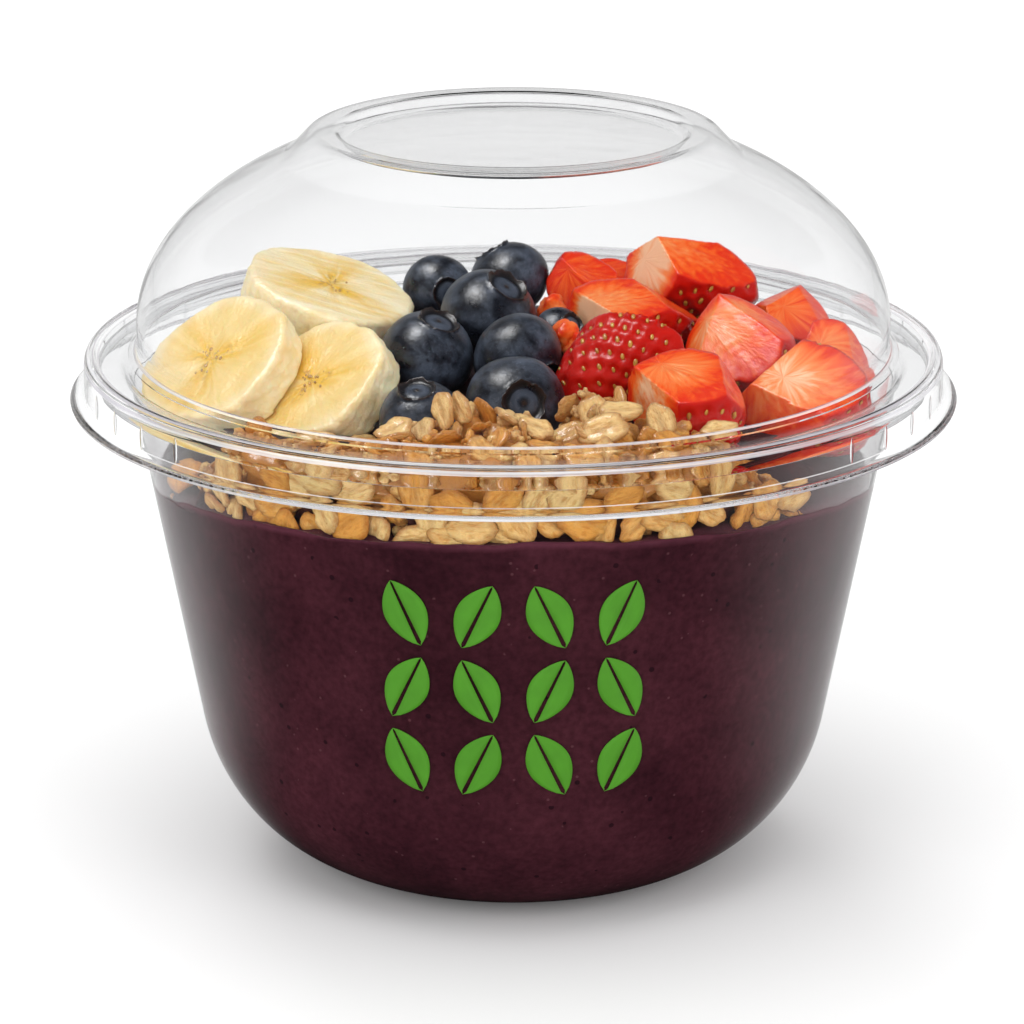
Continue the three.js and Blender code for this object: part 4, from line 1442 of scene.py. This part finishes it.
# A flat rolled oat with an uneven rim and a crease along one face.
def makeOatKind(i, finish, count=20):
    rng = np.random.default_rng(500 + i)
    angle = turnsOf(count)

    def wave(high, number):
        return high * np.cos(number * angle + rng.uniform(*anyPhase))

    rim = 1 + wave(0.06, 3) + wave(0.05, 5) + rng.uniform(-0.035, 0.035, count)
    long, wide, thick = 0.5, rng.uniform(0.33, 0.42), rng.uniform(0.075, 0.1)
    bend, skew = rng.choice([-1, 1]) * rng.uniform(0.05, 0.2), rng.uniform(-0.25, 0.25)
    ruffle = wave(0.03, 4) + wave(0.02, 7)
    rings, edges = [np.array([[0, 0, -thick * 0.9]])], [[0.0]]
    for share, high in granola["oatSection"]:
        x, y = long * share * rim * np.cos(angle), wide * share * rim * np.sin(angle)
        z = thick * high + bend * x * x + skew * x * y + ruffle * share ** 2
        crease = np.exp(-(y / 0.075) ** 2) * (1 - share ** 2) * (high > 0)
        rings.append(np.stack([x, y, z - thick * 0.5 * crease], 1))
        # toasted brown towards the rim, and painted shade along the crease
        edges.append(np.maximum(np.full(count, 0.9 * smoothStep(0.7, 1.0, share)), 0.5 * crease))
    rings.append(np.array([[0, 0, thick * 0.5]]))
    edges.append([0.5])
    points, faces = skinRings(rings)
    return makePiece(f"oatKind{i}", points * granola["oatLong"], faces, finish, {
        "edge": np.concatenate(edges), "own": points + i})


# A glazed lump of oat bits: round lobes grown together, with painted shade darker in the creases between them.
def makeLumpKind(i, finish, soft=0.04):
    directions, faces = icoDirections(3)
    rng = np.random.default_rng(600 + i)
    total = np.full(len(directions), math.exp(0.5 / soft))
    for _ in range(granola["lumpLobes"]):
        centre = rng.normal(size=3)
        centre *= rng.uniform(0.55, 0.8) / np.linalg.norm(centre) * np.array([1, 0.85, 0.65])
        radius = rng.uniform(0.22, 0.38)
        along = directions @ centre
        inside = along ** 2 - centre @ centre + radius ** 2
        total += np.where(inside > 0, np.exp((along + np.sqrt(np.maximum(inside, 0))) / soft), 0)
    reach = soft * np.log(total) * (1 + 0.04 * waves(directions, 0.35, 630 + i))
    points = directions * reach[:, None]
    # painted shade: darker where the lobes meet
    return makePiece(f"lumpKind{i}", points * granola["lumpRadius"], faces, finish, {
        "edge": np.clip((0.86 - reach) / 0.26, 0, 1), "own": points * 0.4 + i})


# Scatters shapes over a guide, lying along its surface, by its "open" attribute.
def scatterTree():
    tree, inlet = startTree("scatter", {
        "Guide": "Geometry", "Kinds": "Collection", "Spacing": "Float", "Density": "Float", "Seed": "Int",
        "Tilt": "Float", "Lift": "Float", "Smallest": "Float", "Largest": "Float", "Finish": "Material"})
    room = putNode(tree, "GeometryNodeInputNamedAttribute", {"Name": "open"}, data_type="FLOAT")
    points = putNode(tree, "GeometryNodeDistributePointsOnFaces", {
        "Mesh": inlet["Guide"], "Distance Min": inlet["Spacing"], "Density Max": inlet["Density"],
        "Density Factor": room.outputs[0], "Seed": inlet["Seed"]}, distribute_method="POISSON")
    kinds = putNode(tree, "GeometryNodeCollectionInfo", {
        "Collection": inlet["Kinds"], "Separate Children": True, "Reset Children": True})
    tilt = joinOf(tree, inlet["Tilt"], inlet["Tilt"], math.pi)
    chance = randomOf(tree, "FLOAT_VECTOR", scaleOf(tree, tilt, -1.0), tilt, inlet["Seed"])
    spin = putNode(tree, "FunctionNodeEulerToRotation", {0: chance})
    turned = putNode(tree, "FunctionNodeRotateRotation", {
        "Rotation": points.outputs["Rotation"], "Rotate By": spin.outputs[0]}, rotation_space="LOCAL")
    there = putNode(tree, "GeometryNodeInstanceOnPoints", {
        "Points": points.outputs["Points"], "Instance": kinds.outputs[0], "Pick Instance": True,
        "Instance Index": randomOf(tree, "INT", 0, granola["kinds"] - 1), "Rotation": turned.outputs[0],
        "Scale": randomOf(tree, "FLOAT", inlet["Smallest"], inlet["Largest"])})
    raised = putNode(tree, "GeometryNodeTranslateInstances", {
        "Instances": there.outputs[0], "Translation": joinOf(tree, z=inlet["Lift"]), "Local Space": True})
    toned = putNode(tree, "GeometryNodeStoreNamedAttribute", {
        "Geometry": raised.outputs[0], "Name": "tone", "Value": randomOf(tree, "FLOAT", 0.0, 1.0, 3)},
        data_type="FLOAT", domain="INSTANCE")
    endTree(tree, toned.outputs[0], inlet["Finish"])
    return tree


# The heap's core: a closed block bent along the wall, its top by the heap's rule.
def coreMesh(columns=150, rows=34, deep=10):
    inset = granola["offWall"] / (granolaWall - granola["inner"])
    shares = inset + np.linspace(0, 1, rows) * (1 - 1.2 * inset)
    rings = []
    for angle in np.linspace(granola["from"], granola["to"], columns):
        close = smoothStep(0, 0.10, min(angle - granola["from"], granola["to"] - angle))
        ring = []
        for share in shares:
            x, y = granolaPlace(angle, share)
            low = acaiTop(x, y) - 1
            high = granolaTop(angle, share) - granola["sink"]
            ring.append((x, y, low + max(high - low, 0.2) * close))
        # down along the wall, and back under the heap
        x, y, edge = ring[-1]
        low = float(acaiLevel(x, y)) - 3
        for k in range(1, deep + 1):
            z = edge + (low - edge) * k / deep
            r = wallRadius(z, wallInset + granola["offWall"])
            ring.append((r * math.sin(angle), -r * math.cos(angle), z))
        for share in shares[::-1][1:-1]:
            x, y = granolaPlace(angle, share)
            bottom = min(float(acaiTop(x, y)), low) - 3
            pull = min(1, wallRadius(bottom, wallInset + 2) / math.hypot(x, y))
            ring.append((x * pull, y * pull, bottom))
        rings.append(np.array(ring))
    return skinClosed(rings)


# Flattens a piece softly against the inside of the bowl's wall and keeps it under the lid's flat ring.
def pressInside(piece, soft=0.6):
    mesh = piece.data
    places = vertexValues(mesh, "co") / mm
    radius = np.hypot(places[:, 0], places[:, 1])
    limit = wallRadius(places[:, 2], bowl["thick"] + 0.05) - soft
    over = np.maximum(radius - limit, 0)
    pressed = np.where(over > 0, limit + soft * (1 - np.exp(-over / soft)), radius)
    places[:, :2] *= (pressed / np.maximum(radius, 1e-6))[:, None]
    ceiling = np.where(pressed > granola["ringFrom"], granola["ringUnder"], farAway)
    over = np.maximum(places[:, 2] - ceiling, 0)
    places[:, 2] = np.where(over > 0, ceiling + 1 - np.exp(-over), places[:, 2])
    mesh.vertices.foreach_set("co", (places * mm).ravel())
    mesh.update()


# Single oats that catch the eye on top of the heap.
def placeOats(oats, finish):
    shapes, values = [], {"edge": [], "own": [], "tone": []}
    for at, towards, spin, size, kind in granola["placed"]:
        mesh = oats[kind].data
        c, s = math.cos(math.radians(spin)), math.sin(math.radians(spin))
        spun = np.array([[c, s, 0], [-s, c, 0], [0, 0, 1]])
        local = vertexValues(mesh, "co").astype(float) / mm * size @ spun
        shapes.append((local @ facing(towards).T + np.array(at), facesOf(mesh)))
        values["edge"].append([item.value for item in mesh.attributes["edge"].data])
        values["own"].append([item.vector[:] for item in mesh.attributes["own"].data])
        values["tone"].append(np.full(len(local), granola["placedTone"]))
    joined = {key: np.concatenate(parts) for key, parts in values.items()}
    piece = makePiece("placedOats", *joinShapes(shapes), finish, joined)
    pressInside(piece)
    keepPiece(piece, "granola")


# How much room loose pieces have at each point of the core: towards the wall and on top.
def roomOnCore(places, normals):
    x, y, z = places.T
    radius = np.hypot(x, y)
    outward = (normals[:, 0] * x + normals[:, 1] * y) / np.maximum(radius, 1)
    around = np.arctan2(x, -y)
    uneven = 1.2 * np.sin(11 * around + 1) + 0.9 * np.sin(23 * around)
    nearWall = smoothStep(-5.5, -3, radius - wallRadius(z, wallInset)) > 0.5
    above = smoothStep(-1.5, 0.5, z - np.where(nearWall, acaiLevel(x, y) + 0.4 + uneven, acaiTop(x, y)))
    free = clearOfFruit(places + normals * 1.5) * above
    return smoothStep(0.35, 0.8, outward) * free, smoothStep(0.1, 0.5, normals[:, 2]) * free


def makeGranola(finish):
    points, faces = coreMesh()
    points[:, 2] += waves(points, 6, granola["seed"]) * 0.5
    overLevel = points[:, 2] - acaiLevel(points[:, 0], points[:, 1])
    core = makePiece("granolaCore", points, faces, finish, {
        # the core is dark toast all over: partly toasted crumbs, partly painted shade of the gaps between the
        # loose pieces
        "edge": np.full(len(points), 0.8),
        "tone": np.full(len(points), 0.2),
        "stain": smoothStep(7, 2, overLevel),
    })
    turnOutwards(core.data)
    keepPiece(core, "granola", "granola")

    places = vertexValues(core.data, "co").astype(float) / mm
    wallSide, topSide = roomOnCore(places, vertexValues(core.data, "normal"))
    tree = scatterTree()
    oats = [makeOatKind(i, finish) for i in range(granola["kinds"])]
    lumps = [makeLumpKind(i, finish) for i in range(granola["kinds"])]
    oatKinds = kindsOf("oatKinds", oats)
    lumpKinds = kindsOf("lumpKinds", lumps)

    def scatter(name, kinds, room):
        guide = makePiece(name + "Guide", places, faces, attributes={"open": room})
        turnOutwards(guide.data)
        look = granola[name]
        piece = grow(name, guide, tree, {
            **look, "Spacing": look["Spacing"] * mm, "Lift": look["Lift"] * mm, "Kinds": kinds,
            "Density": granola["density"], "Seed": granola["seed"], "Finish": finish})
        pressInside(piece)
        keepPiece(piece, "granola")

    scatter("wallOats", oatKinds, wallSide)
    scatter("topOats", oatKinds, topSide * 0.8)
    scatter("granolaLumps", lumpKinds, np.maximum(topSide, wallSide * 0.7))
    placeOats(oats, finish)
    dropPieces(*oats, *lumps)
    bpy.data.collections.remove(oatKinds)
    bpy.data.collections.remove(lumpKinds)


makeGranola(makeOatFinish())
print("granola ready")

foodStarts = ("acai", "banana", "blueberry", "strawberry", "granola", "wallOats", "topOats", "placedOats")
makeShine([piece for piece in scene.objects if piece.type == "MESH" and piece.name.startswith(foodStarts)])
